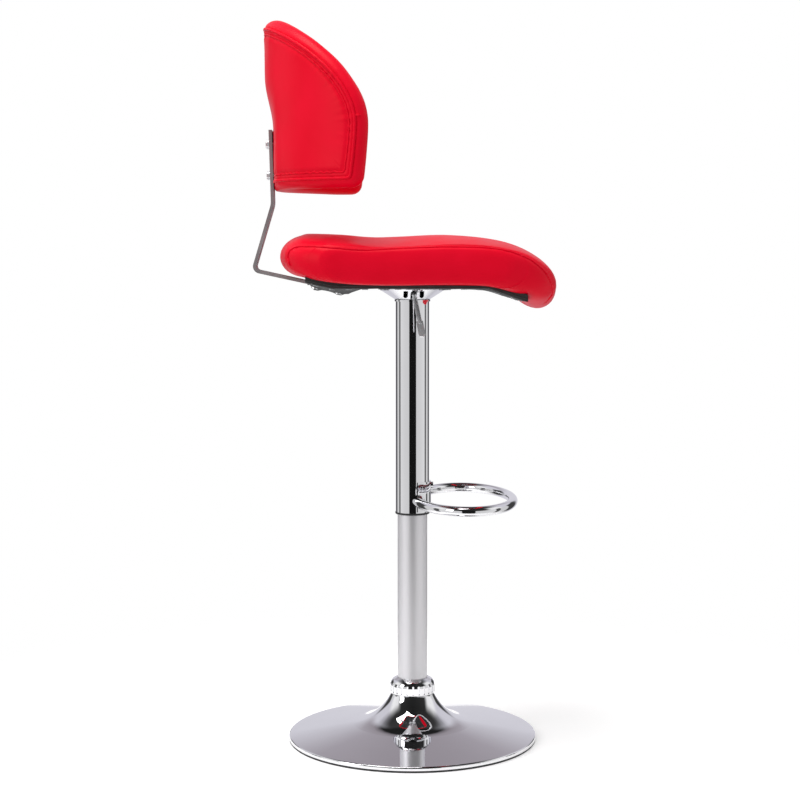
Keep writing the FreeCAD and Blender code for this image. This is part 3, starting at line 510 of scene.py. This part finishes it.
def seat_loop(sections, x, corner_inset, edge, stations=54, cap=8):
    """One closed side profile of the cushion at x, drawn in by edge and shortened at both ends."""
    length = sum((b[0] - a[0]).length for a, b in zip(sections, sections[1:]))
    outward = min(1.0, abs(x) / SEAT_HALF_WIDTH)
    crown = SEAT_CROWN * outward ** 3
    tuck = SEAT_TUCK * outward ** 3
    rear_inset = corner_inset + SEAT_REAR_BOW * outward ** 2
    front_inset = corner_inset + SEAT_FRONT_BOW * outward ** 2
    loop = []

    def add(middle, along, up, half, forward, rise):
        reach = max(half - edge, 0.0)
        point = middle + along * (forward * reach) + up * (rise * reach)
        lower = (crown * max(0.0, rise) + tuck * min(0.0, rise)) * reach / half
        loop.append(Vector((x, point.y, point.z - lower)))

    run = length - rear_inset - front_inset
    shares = [(rear_inset + run * i / (stations - 1)) / length for i in range(stations)]
    for share in shares:
        add(*section_at(sections, share), 0.0, 1.0)
    for step in range(1, cap):
        angle = math.pi / 2 - math.pi * step / cap
        add(*section_at(sections, shares[-1]), math.cos(angle), math.sin(angle))
    for share in reversed(shares):
        add(*section_at(sections, share), 0.0, -1.0)
    for step in range(1, cap):
        angle = -math.pi / 2 - math.pi * step / cap
        add(*section_at(sections, shares[0]), math.cos(angle), math.sin(angle))
    return loop


def seat_shape():
    """The cushion's starting mesh: side profiles from one side to the other, closed by side panels."""
    sections = seat_sections()
    flat = SEAT_HALF_WIDTH - SEAT_CORNER
    half_loops = [(flat * i / 13, 0.0, 0.0) for i in range(14)]
    for angle in (15, 28, 40, 50, 59):
        turn = math.radians(angle)
        half_loops.append((flat + SEAT_CORNER * math.sin(turn), SEAT_CORNER * (1 - math.cos(turn)), 0.0))
    for angle in (0, 22, 45, 68, 90):
        turn = math.radians(angle)
        x = SEAT_HALF_WIDTH - SEAT_FILLET * (1 - math.sin(turn))
        inset = SEAT_CORNER * (1 - math.sqrt(max(0.0, 1 - ((x - flat) / SEAT_CORNER) ** 2)))
        half_loops.append((x, min(inset, SEAT_CORNER * 0.6), SEAT_FILLET * (1 - math.cos(turn))))
    last_inset = half_loops[-1][1]
    for edge in (16, 21, 27, 36):
        half_loops.append((SEAT_HALF_WIDTH + SEAT_SIDE_BULGE, last_inset, edge * MM))
    sides = [(-x, inset, edge) for x, inset, edge in reversed(half_loops[1:])] + half_loops
    loops = [seat_loop(sections, x, inset, edge) for x, inset, edge in sides]
    count = len(loops[0])
    points = [p for loop in loops for p in loop]
    faces = []
    for row in range(len(loops) - 1):
        for index in range(count):
            beside = (index + 1) % count
            a, b = row * count, (row + 1) * count
            faces.append((a + index, a + beside, b + beside, b + index))
    return mesh_object("seat_cushion", points, faces)


def on_side(tree, line, side):
    """Points (Y, Z) carried along X onto the outside of the cushion's left (-1) or right (1) side."""
    found = []
    for point in line:
        start = Vector((side * 0.4, point.x, point.y))
        place, _, _, _ = tree.ray_cast(start, Vector((-side, 0, 0)))
        if place is not None:
            found.append(place)
    return found


def clear_of_board(obj):
    """Lifts the cushion's underside to rest on top of the seat board."""
    board = surface_of(frame["nodes"]["seat_board"])
    for vertex in obj.data.vertices:
        top, _, _, _ = board.ray_cast(Vector((vertex.co.x, vertex.co.y, 1.0)), Vector((0, 0, -1)))
        if top is not None and vertex.co.z < top.z + BOARD_GAP:
            vertex.co.z = top.z + BOARD_GAP


def build_seat():
    """The sewn seat cushion and the cords in its two side seams."""
    seat = seat_shape()
    tree = surface_of(seat)
    line = spline_through([(y * MM, z * MM, 0) for y, z in SEAT_SEAM], 150)
    seams = [on_side(tree, line, side) for side in (-1, 1)]
    creased(seat, 0.11, 1.2 * MM, 3.0)
    pinned = {}
    for vertex in seat.data.vertices:
        near = min((vertex.co - p).length for seam in seams for p in seam[::3])
        under = 1 - smooth_step(vertex.normal.z, -0.8, -0.5)
        weight = max(under, 0.9 * (1 - smooth_step(near, 4 * MM, 11 * MM)))
        if weight > 0.01:
            pinned[vertex.index] = weight
    puff(seat, pinned, SEAT_SWELL_CAP)
    subdivide(seat)
    tree = surface_of(seat)
    seams = [settled(tree, seam, 0.0) for seam in seams]
    press_seams(seat, seams, 1.6 * MM, 5 * MM)
    clear_of_board(seat)
    tree = surface_of(seat)
    cords = [(settled(tree, seam, 0.5 * MM), False) for seam in seams]
    piping = cord_mesh("seat_piping", cords, SEAT_CORD)
    finish_piece(seat, "seat", PAINTS["red_leather"])
    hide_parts("seat_cover", "seat_foam")
    finish_piece(piping, "seat", PAINTS["red_leather"])


build_seat()


# ---- back cushion ------------------------------------------------------------------------------------

ARCH_STEPS, SIDE_STEPS, CORNER_STEPS, FOOT_STEPS = 28, 6, 6, 20
CROSS_STEPS = 2 * FOOT_STEPS
RISE_STEPS = ARCH_STEPS + SIDE_STEPS + CORNER_STEPS - FOOT_STEPS


def back_outline(inset):
    """The back's outline drawn in by inset: (arc length, height), clockwise from the top's middle."""
    wide, rise = BACK_HALF_ARC - inset, BACK_RISE - inset
    low, corner = BACK_LOW + inset, max(BACK_CORNER - inset, 3 * MM)
    half = []
    for step in range(ARCH_STEPS):
        angle = math.pi / 2 * (1 - step / ARCH_STEPS)
        half.append((wide * math.cos(angle) ** BACK_ARCH_POWER,
                     BACK_SHOULDER + rise * math.sin(angle) ** BACK_ARCH_POWER))
    for step in range(SIDE_STEPS):
        share = step / SIDE_STEPS
        half.append((wide - BACK_SIDE_LEAN * share ** 1.6,
                     BACK_SHOULDER + (low + corner - BACK_SHOULDER) * share))
    wide -= BACK_SIDE_LEAN
    for step in range(CORNER_STEPS):
        angle = math.pi / 2 * step / CORNER_STEPS
        half.append((wide - corner * (1 - math.cos(angle)), low + corner * (1 - math.sin(angle))))
    for step in range(FOOT_STEPS + 1):
        half.append(((wide - corner) * (1 - step / FOOT_STEPS), low))
    return half + [(-u, z) for u, z in reversed(half[1:-1])]


def wrapped(u, z, offset):
    """A place on the developed back, moved off its middle surface and wrapped about the column."""
    angle = u / BACK_RADIUS
    reach = BACK_RADIUS + offset
    return Vector((reach * math.sin(angle), reach * math.cos(angle), z))


def bar_dent(u, z):
    """How far the bar holds the rear padding in at this place."""
    across = 1 - smooth_step(abs(u), *BAR_DENT_ACROSS)
    up = 1 - smooth_step(z, *BAR_DENT_UP)
    return BAR_DENT * across * up


def face_offset(u, z, side):
    """Height of the padded face above the middle surface; side is 1 at the rear and -1 in front."""
    middle = max(0.0, 1 - (u / BACK_HALF_ARC) ** 2)
    if side < 0:
        return -(BACK_HALF_THICK + 1.5 * MM * middle)
    return BACK_HALF_THICK + 0.6 * MM * middle - bar_dent(u, z)


def filled_grid(loop):
    """Rows of places that fill a loop, blended from its four sides."""
    count = len(loop)
    start = FOOT_STEPS
    right = [loop[start + i] for i in range(RISE_STEPS + 1)]
    bottom = [loop[start + RISE_STEPS + i] for i in range(CROSS_STEPS + 1)]
    left = [loop[(start + RISE_STEPS + CROSS_STEPS + i) % count] for i in range(RISE_STEPS + 1)]
    top = [loop[(start + 2 * RISE_STEPS + CROSS_STEPS + i) % count] for i in range(CROSS_STEPS + 1)]
    left.reverse()
    bottom.reverse()
    rows = []
    for j in range(RISE_STEPS + 1):
        v = j / RISE_STEPS
        row = []
        for i in range(CROSS_STEPS + 1):
            h = i / CROSS_STEPS
            place = []
            for axis in (0, 1):
                edges = ((1 - v) * top[i][axis] + v * bottom[i][axis]
                         + (1 - h) * left[j][axis] + h * right[j][axis])
                corners = ((1 - v) * ((1 - h) * top[0][axis] + h * top[-1][axis])
                           + v * ((1 - h) * bottom[0][axis] + h * bottom[-1][axis]))
                place.append(edges - corners)
            row.append(tuple(place))
        rows.append(row)
    return rows


def back_rings():
    """(inset, side, offset share) of each ring from the rear face round the rim to the front face."""
    face = [34, 28, BACK_SEAM_INSET / MM, 17.5]
    rings = [(inset * MM, 1, 1.0) for inset in face]
    steps = 12
    for step in range(1, steps):
        angle = math.pi * step / steps
        rings.append((BACK_HALF_THICK * (1 - math.sin(angle)), 1 if angle < math.pi / 2 else -1,
                      abs(math.cos(angle))))
    rings += [(inset * MM, -1, 1.0) for inset in reversed(face)]
    return rings


def back_shape():
    """The back's starting mesh: two filled faces and the rings that join them round the rim."""
    fill = filled_grid(back_outline(BACK_FILL_INSET))
    points, faces = [], []
    across = CROSS_STEPS + 1
    for side in (1, -1):
        first = len(points)
        points += [wrapped(u, z, face_offset(u, z, side)) for row in fill for u, z in row]
        for j in range(RISE_STEPS):
            for i in range(CROSS_STEPS):
                a = first + j * across + i
                faces.append((a, a + 1, a + across + 1, a + across))
    rings = [(BACK_FILL_INSET, 1, 1.0)] + back_rings() + [(BACK_FILL_INSET, -1, 1.0)]
    first = len(points)
    count = len(back_outline(0))
    for inset, side, share in rings:
        for u, z in back_outline(inset):
            points.append(wrapped(u, z, face_offset(u, z, side) * share))
    for row in range(len(rings) - 1):
        for index in range(count):
            a, b = first + row * count, first + (row + 1) * count
            beside = (index + 1) % count
            faces.append((a + index, a + beside, b + beside, b + index))
    return mesh_object("back_cushion", points, faces)


def back_line(inset, side):
    """A closed line on the padded face at a constant distance from the edge."""
    share = 1.0
    if inset < BACK_HALF_THICK:
        share = math.sqrt(1 - (1 - inset / BACK_HALF_THICK) ** 2)
    outline = [Vector((u, z, 0)) for u, z in back_outline(inset)]
    even = spline_through(outline + [outline[0]], 360)[:-1]
    return [wrapped(p.x, p.y, face_offset(p.x, p.y, side) * share) for p in even]


def clear_of_bar(obj):
    """Holds the rear padding in front of the steel bar."""
    low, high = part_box("back_bar")
    bar = surface_of(frame["nodes"]["back_bar"])
    for vertex in obj.data.vertices:
        x, z = vertex.co.x, vertex.co.z
        if vertex.co.y < 0.195 or abs(x) > high.x + 3 * MM or z > high.z + 3 * MM:
            continue
        inside_x = min(max(x, low.x + 1 * MM), high.x - 1 * MM)
        inside_z = min(z, high.z - 2 * MM)
        front, _, _, _ = bar.ray_cast(Vector((inside_x, 0.1, inside_z)), Vector((0, 1, 0)))
        if front is not None:
            vertex.co.y = min(vertex.co.y, front.y - 0.3 * MM)


def band_joints(tree):
    """Short joints in the rim band, one on each wing."""
    joints = []
    steps = 8
    for side in (-1, 1):
        places = []
        for step in range(steps + 1):
            inset = BACK_PIPING_INSET * (1 - BACK_JOINT_SHARE * step / steps)
            share = math.sqrt(1 - (1 - inset / BACK_HALF_THICK) ** 2)
            places.append(wrapped(side * (BACK_HALF_ARC - inset), BACK_JOINT, BACK_HALF_THICK * share))
        joints.append((settled(tree, places, 0.4 * MM), False))
    return cord_mesh("back_band_joints", joints, BACK_JOINT_CORD)


def build_back():
    """The padded back with its piping, its inner seam and the small joints in its band."""
    back = back_shape()
    seams = [
        back_line(BACK_PIPING_INSET, 1),
        back_line(BACK_SEAM_INSET, 1),
        back_line(BACK_FRONT_INSET, -1),
    ]
    creased(back, 0.09, 1.0 * MM, 7.0)
    pinned = {}
    for vertex in back.data.vertices:
        near = min((vertex.co - p).length for seam in seams for p in seam[::4])
        weight = 0.95 * (1 - smooth_step(near, 4 * MM, 10 * MM))
        angle = math.atan2(vertex.co.x, vertex.co.y)
        if vertex.co.y > 0:
            weight = max(weight, bar_dent(angle * BACK_RADIUS, vertex.co.z) / BAR_DENT)
        if weight > 0.01:
            pinned[vertex.index] = weight
    puff(back, pinned, BACK_SWELL_CAP)
    subdivide(back)
    tree = surface_of(back)
    seams = [settled(tree, seam, 0.0) for seam in seams]
    press_seams(back, seams, 2.1 * MM, 5 * MM)
    pucker(back, seams[1], 1.1 * MM, 24 * MM, 13 * MM)
    clear_of_bar(back)
    tree = surface_of(back)
    piping = cord_mesh("back_piping", [(settled(tree, seams[0], 1.2 * MM), True)], BACK_CORD)
    inner = cord_mesh("back_inner_seam", [(settled(tree, seams[1], 0.3 * MM), True)], BACK_SEAM_CORD)
    front = cord_mesh("back_front_piping", [(settled(tree, seams[2], 1.0 * MM), True)], BACK_FRONT_CORD)
    joint = band_joints(tree)
    finish_piece(back, "seat", PAINTS["red_leather"])
    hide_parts("back_cover", "back_front_foam", "back_rear_foam", "back_ply")
    for piece in (piping, inner, front, joint):
        clear_of_bar(piece)
        finish_piece(piece, "seat", PAINTS["red_leather"])


build_back()


# ---- black cloth stapled under the seat --------------------------------------------------------------

CLOTH_ROWS, CLOTH_COLUMNS = 54, 46
CLOTH_EDGE = 2.5 * MM
CLOTH_GAP = 0.7 * MM
CLOTH_ROUNDS = 160
# share of a flat membrane's drop that the cloth keeps in front, where it lies closer to the board
CLOTH_HANG = 0.45
CLOTH_SAG = 1.2 * MM
CLOTH_LUMP = 45 * MM
CLOTH_TURN_OUT = 3.2 * MM
CLOTH_TURN_UP = 3.8 * MM
PLATE_MARGIN = 3 * MM
BELOW_SEAT = 0.55


def underside(trees, x, y):
    """Height of the lowest thing the cloth has to pass under at a place."""
    heights = []
    for tree in trees:
        place, _, _, _ = tree.ray_cast(Vector((x, y, BELOW_SEAT)), Vector((0, 0, 1)))
        if place is not None:
            heights.append(place.z)
    return min(heights) if heights else None


def grid_line(low, high, count, wanted):
    """Even places from low to high, with the one nearest to each wanted place moved onto it."""
    low += CLOTH_EDGE
    high -= CLOTH_EDGE
    places = [low + (high - low) * i / (count - 1) for i in range(count)]
    for want in wanted:
        index = min(range(count), key=lambda i: abs(places[i] - want))
        places[index] = want
    return places


def on_border(i, j):
    return i in (0, CLOTH_COLUMNS - 1) or j in (0, CLOTH_ROWS - 1)


def highest_cloth(xs, ys):
    """The most the cloth can rise at each place of its grid, row by row."""
    trees = [surface_of(frame["nodes"][name]) for name in ("seat_board", "back_bar", "bar_screws")]
    rows = [[underside(trees, x, y) for x in xs] for y in ys]
    for row in rows:
        for i, height in enumerate(row):
            if height is None:
                row[i] = min(h for h in row if h is not None)
    return [[height - CLOTH_GAP for height in row] for row in rows]


def stretched_level(top, held):
    """The heights of a stretched membrane that can't rise past top and is held in places."""
    level = [list(row) for row in top]
    for _ in range(CLOTH_ROUNDS):
        for j in range(1, CLOTH_ROWS - 1):
            for i in range(1, CLOTH_COLUMNS - 1):
                if not held[j][i]:
                    middle = (level[j - 1][i] + level[j + 1][i] + level[j][i - 1] + level[j][i + 1]) / 4
                    level[j][i] = min(top[j][i], middle)
    return level


def border_ring():
    """The grid places of the cloth's border, in order round it."""
    ring = [(i, 0) for i in range(CLOTH_COLUMNS)]
    ring += [(CLOTH_COLUMNS - 1, j) for j in range(1, CLOTH_ROWS)]
    ring += [(i, CLOTH_ROWS - 1) for i in reversed(range(CLOTH_COLUMNS - 1))]
    ring += [(0, j) for j in reversed(range(1, CLOTH_ROWS - 1))]
    return ring


def turned_edge(here, i, j, bar_half):
    """Where the cloth's border ends: outside the board's edge and a little up it, or under the bar."""
    across = (i == CLOTH_COLUMNS - 1) - (i == 0)
    deep = (j == CLOTH_ROWS - 1) - (j == 0)
    if j == CLOTH_ROWS - 1 and abs(here.x) < bar_half + 2 * MM:
        lift = -0.4 * MM
    else:
        lift = CLOTH_TURN_UP + noise.noise(here / (30 * MM)) * MM
    return here + Vector((CLOTH_TURN_OUT * across, CLOTH_TURN_OUT * deep, lift))


def build_cloth():
    """The cloth as one open sheet, with its opening round the mount plate."""
    low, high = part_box("seat_board")
    plate_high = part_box("mount_plate")[1]
    in_x, in_y = plate_high.x + PLATE_MARGIN, plate_high.y + PLATE_MARGIN
    xs = grid_line(low.x, high.x, CLOTH_COLUMNS, (-in_x, in_x))
    ys = grid_line(low.y, high.y, CLOTH_ROWS, (-in_y, in_y))
    top = highest_cloth(xs, ys)
    held = [[on_border(i, j) or (abs(x) <= in_x and abs(y) <= in_y) for i, x in enumerate(xs)]
            for j, y in enumerate(ys)]
    level = stretched_level(top, held)
    points, keep = [], {}
    for j, y in enumerate(ys):
        hang = CLOTH_HANG + (1 - CLOTH_HANG) * smooth_step(y, 5 * MM, 45 * MM)
        for i, x in enumerate(xs):
            lump = noise.fractal(Vector((x, y, 4)) / CLOTH_LUMP, 0.9, 2.0, 3)
            sag = 0.0 if held[j][i] else CLOTH_SAG * (1 + lump)
            keep[(i, j)] = len(points)
            points.append((x, y, top[j][i] - hang * (top[j][i] - level[j][i]) - sag))
    faces = []
    for j in range(CLOTH_ROWS - 1):
        for i in range(CLOTH_COLUMNS - 1):
            middle_x, middle_y = (xs[i] + xs[i + 1]) / 2, (ys[j] + ys[j + 1]) / 2
            if abs(middle_x) > in_x or abs(middle_y) > in_y:
                faces.append((keep[(i, j)], keep[(i + 1, j)], keep[(i + 1, j + 1)], keep[(i, j + 1)]))
    ring = border_ring()
    bar_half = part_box("back_bar")[1].x
    turned = []
    for place in ring:
        turned.append(len(points))
        points.append(turned_edge(Vector(points[keep[place]]), *place, bar_half))
    for index, place in enumerate(ring):
        after = (index + 1) % len(ring)
        faces.append((keep[place], keep[ring[after]], turned[after], turned[index]))
    cloth = mesh_object("dust_cloth", points, faces)
    finish_piece(cloth, "seat", PAINTS["black_cloth"])
    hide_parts("dust_cover")
    return points, ring, keep


STAPLE_HALF_LENGTH = 4.5 * MM
STAPLE_HALF_WIDTH = 0.5 * MM
STAPLE_TOP, STAPLE_BOTTOM = -0.35 * MM, 1.05 * MM
STAPLE_EVERY = 4
# the six sides of a bar whose corners are counted along it, across it and downwards
BAR_SIDES = ((0, 1, 3, 2), (4, 6, 7, 5), (0, 4, 5, 1), (2, 3, 7, 6), (0, 2, 6, 4), (1, 5, 7, 3))


def build_staples(points, ring, keep):
    """Flat wire staples round the cloth's edge."""
    corners, faces = [], []
    for index in range(1, len(ring), STAPLE_EVERY):
        i, j = ring[index]
        inner = (min(max(i, 1), CLOTH_COLUMNS - 2), min(max(j, 1), CLOTH_ROWS - 2))
        here = Vector(points[keep[inner]])
        before = Vector(points[keep[ring[index - 1]]])
        after = Vector(points[keep[ring[(index + 1) % len(ring)]]])
        along = (after - before).normalized()
        inward = Vector((0, 0, 1)).cross(along).normalized()
        down = along.cross(inward).normalized()
        if down.z > 0:
            down = -down
        first = len(corners)
        for a in (-STAPLE_HALF_LENGTH, STAPLE_HALF_LENGTH):
            for b in (-STAPLE_HALF_WIDTH, STAPLE_HALF_WIDTH):
                for c in (STAPLE_TOP, STAPLE_BOTTOM):
                    corners.append(here + along * a + inward * b + down * c)
        faces += [tuple(first + k for k in face) for face in BAR_SIDES]
    staples = mesh_object("staples", corners, faces)
    finish_piece(staples, "seat", PAINTS["plain_steel"])


build_staples(*build_cloth())


# ---- camera, floor and light -------------------------------------------------------------------------

CAMERA_DISTANCE = 2.717
CAMERA_HEIGHT = 0.767
CAMERA_LENS = 79.4
CAMERA_SENSOR = 36.0
CAMERA_SHIFT = (-0.0155, -0.04)
CAMERA_TILT = math.radians(3.96)
CAMERA_TURN = math.radians(2.0)
FLOOR_REACH = 1.3
# distances from the column between which the floor fades out
FLOOR_FADE = (0.35, 0.95)


def build_camera():
    """A camera at the stool's left side, turned slightly to the rear and tilted slightly down."""
    lens = bpy.data.cameras.new("camera")
    lens.lens = CAMERA_LENS
    lens.sensor_width = CAMERA_SENSOR
    lens.shift_x, lens.shift_y = CAMERA_SHIFT
    camera = bpy.data.objects.new("camera", lens)
    camera.location = (-CAMERA_DISTANCE * math.cos(CAMERA_TURN),
                       CAMERA_DISTANCE * math.sin(CAMERA_TURN), CAMERA_HEIGHT)
    camera.rotation_euler = (math.pi / 2 - CAMERA_TILT, 0.0, -math.pi / 2 - CAMERA_TURN)
    bpy.context.scene.collection.objects.link(camera)
    bpy.context.scene.camera = camera


def build_floor():
    """A pale round floor that fades out, so that the chrome sees the studio past it."""
    mesh = bpy.data.meshes.new("floor")
    corners = [(x * FLOOR_REACH, y * FLOOR_REACH, 0) for x, y in ((-1, -1), (1, -1), (1, 1), (-1, 1))]
    mesh.from_pydata(corners, [], [(0, 1, 2, 3)])
    floor = new_object("floor", mesh)
    made, tree, shader = new_material("pale_floor", (0.9, 0.9, 0.9), 0.0, 0.7)
    shader.inputs["Emission Color"].default_value = (1, 1, 1, 1)
    shader.inputs["Emission Strength"].default_value = 0.28
    place = tree.nodes.new("ShaderNodeTexCoord")
    length = tree.nodes.new("ShaderNodeVectorMath")
    length.operation = "LENGTH"
    fade = tree.nodes.new("ShaderNodeMapRange")
    fade.interpolation_type = "SMOOTHSTEP"
    fade.inputs["From Min"].default_value, fade.inputs["From Max"].default_value = FLOOR_FADE
    clear = tree.nodes.new("ShaderNodeBsdfTransparent")
    mix = tree.nodes.new("ShaderNodeMixShader")
    tree.links.new(place.outputs["Object"], length.inputs[0])
    tree.links.new(length.outputs["Value"], fade.inputs["Value"])
    tree.links.new(fade.outputs["Result"], mix.inputs["Fac"])
    tree.links.new(shader.outputs["BSDF"], mix.inputs[1])
    tree.links.new(clear.outputs["BSDF"], mix.inputs[2])
    tree.links.new(mix.outputs["Shader"], tree.nodes["Material Output"].inputs["Surface"])
    mesh.materials.append(made)


def ramp_node(tree, stops, smooth=False):
    """A ramp of greys: (position, grey) from left to right."""
    ramp = tree.nodes.new("ShaderNodeValToRGB")
    ramp.color_ramp.interpolation = "EASE" if smooth else "LINEAR"
    elements = ramp.color_ramp.elements
    while len(elements) > 1:
        elements.remove(elements[-1])
    for index, (position, grey) in enumerate(stops):
        element = elements[0] if index == 0 else elements.new(position)
        element.position = position
        shade = grey if isinstance(grey, tuple) else (grey, grey, grey)
        element.color = (*shade, 1)
    return ramp


def build_studio():
    """A white studio. What shines also sees its tall dark and pale panels, and a dark ceiling."""
    world = bpy.data.worlds.new("studio")
    bpy.context.scene.world = world
    world.use_nodes = True
    tree = world.node_tree
    tree.nodes.clear()
    link = tree.links.new

    def math_node(operation, first, second=None):
        made = tree.nodes.new("ShaderNodeMath")
        made.operation = operation
        for socket, value in zip(made.inputs, (first, second)):
            if isinstance(value, (int, float)):
                socket.default_value = value
            elif value is not None:
                link(value, socket)
        return made.outputs[0]

    def mixed(factor, first, second):
        made = tree.nodes.new("ShaderNodeMixRGB")
        link(factor, made.inputs["Fac"])
        link(first, made.inputs["Color1"])
        link(second, made.inputs["Color2"])
        return made.outputs["Color"]

    def range_node(value, low, high):
        made = tree.nodes.new("ShaderNodeMapRange")
        made.interpolation_type = "SMOOTHSTEP"
        made.inputs["From Min"].default_value = low
        made.inputs["From Max"].default_value = high
        link(value, made.inputs["Value"])
        return made.outputs["Result"]

    place = tree.nodes.new("ShaderNodeTexCoord")
    split = tree.nodes.new("ShaderNodeSeparateXYZ")
    link(place.outputs["Generated"], split.inputs[0])
    x, y, z = split.outputs
    flat = math_node("SQRT", math_node("ADD", math_node("MULTIPLY", x, x), math_node("MULTIPLY", y, y)))
    toward = math_node("DIVIDE", math_node("MULTIPLY", x, -1.0), math_node("MAXIMUM", flat, 0.001))
    angle = math_node("DIVIDE", math_node("ARCCOSINE", toward), math.pi)
    lilac = (0.70, 0.69, 0.75)
    # panels, upper and ceiling run from the camera's side to the far side, and far_side from level to up
    panels = ramp_node(tree, [
        (0.0, 0.008), (0.128, 0.008), (0.134, 0.70), (0.30, 0.74), (0.50, 0.82), (0.515, 0.08),
        (0.575, 0.10), (0.59, 0.72), (0.70, 0.70), (0.72, 0.06), (0.86, 0.05), (0.89, lilac),
    ])
    upper = ramp_node(tree, [
        (0.0, 0.02), (0.36, 0.03), (0.47, 0.95), (0.58, 1.0), (0.68, lilac), (1.0, lilac),
    ], True)
    ceiling = ramp_node(tree, [(0.0, 0.015), (0.5, 0.03), (1.0, 0.05)])
    far_side = ramp_node(tree, [
        (0.0, lilac), (0.24, lilac), (0.36, (0.56, 0.54, 0.59)), (0.46, (0.42, 0.39, 0.43)),
        (0.60, (0.34, 0.31, 0.34)), (0.66, (0.22, 0.20, 0.22)), (0.72, 0.015), (1.0, 0.015),
    ])
    link(z, far_side.inputs["Fac"])
    for ramp in (panels, upper, ceiling):
        link(angle, ramp.inputs["Fac"])
    seen = mixed(range_node(z, 0.26, 0.36), panels.outputs["Color"], upper.outputs["Color"])
    seen = mixed(range_node(z, 0.58, 0.86), seen, ceiling.outputs["Color"])
    seen = mixed(range_node(angle, 0.82, 0.90), seen, far_side.outputs["Color"])
    gloss = tree.nodes.new("ShaderNodeBackground")
    link(seen, gloss.inputs["Color"])
    white = tree.nodes.new("ShaderNodeBackground")
    white.inputs["Color"].default_value = (1, 1, 1, 1)
    white.inputs["Strength"].default_value = 1.0
    soft = tree.nodes.new("ShaderNodeBackground")
    soft.inputs["Color"].default_value = (1, 1, 1, 1)
    soft.inputs["Strength"].default_value = 0.75
    path = tree.nodes.new("ShaderNodeLightPath")
    first = tree.nodes.new("ShaderNodeMixShader")
    second = tree.nodes.new("ShaderNodeMixShader")
    output = tree.nodes.new("ShaderNodeOutputWorld")
    link(path.outputs["Is Glossy Ray"], first.inputs["Fac"])
    link(soft.outputs[0], first.inputs[1])
    link(gloss.outputs[0], first.inputs[2])
    link(path.outputs["Is Camera Ray"], second.inputs["Fac"])
    link(first.outputs[0], second.inputs[1])
    link(white.outputs[0], second.inputs[2])
    link(second.outputs[0], output.inputs["Surface"])


def area_light(name, place, aim, size, power):
    """A softbox that the camera doesn't see."""
    lamp = bpy.data.lights.new(name, "AREA")
    lamp.shape = "RECTANGLE"
    lamp.size, lamp.size_y = size
    lamp.energy = power
    light = bpy.data.objects.new(name, lamp)
    light.location = place
    light.rotation_euler = (Vector(aim) - Vector(place)).to_track_quat("-Z", "Y").to_euler()
    bpy.context.scene.collection.objects.link(light)
    light.visible_camera = False


build_camera()
build_floor()
build_studio()
area_light("top_softbox", (-0.2, 0.5, 2.7), (0, 0, 0.6), (1.5, 1.1), 34)
area_light("rear_softbox", (-1.3, 2.3, 1.4), (0, 0, 0.8), (0.9, 1.4), 16)
bpy.context.scene.view_settings.view_transform = "Standard"

# ---- last update of the scene ------------------------------------------------------------------------

bpy.context.view_layer.update()
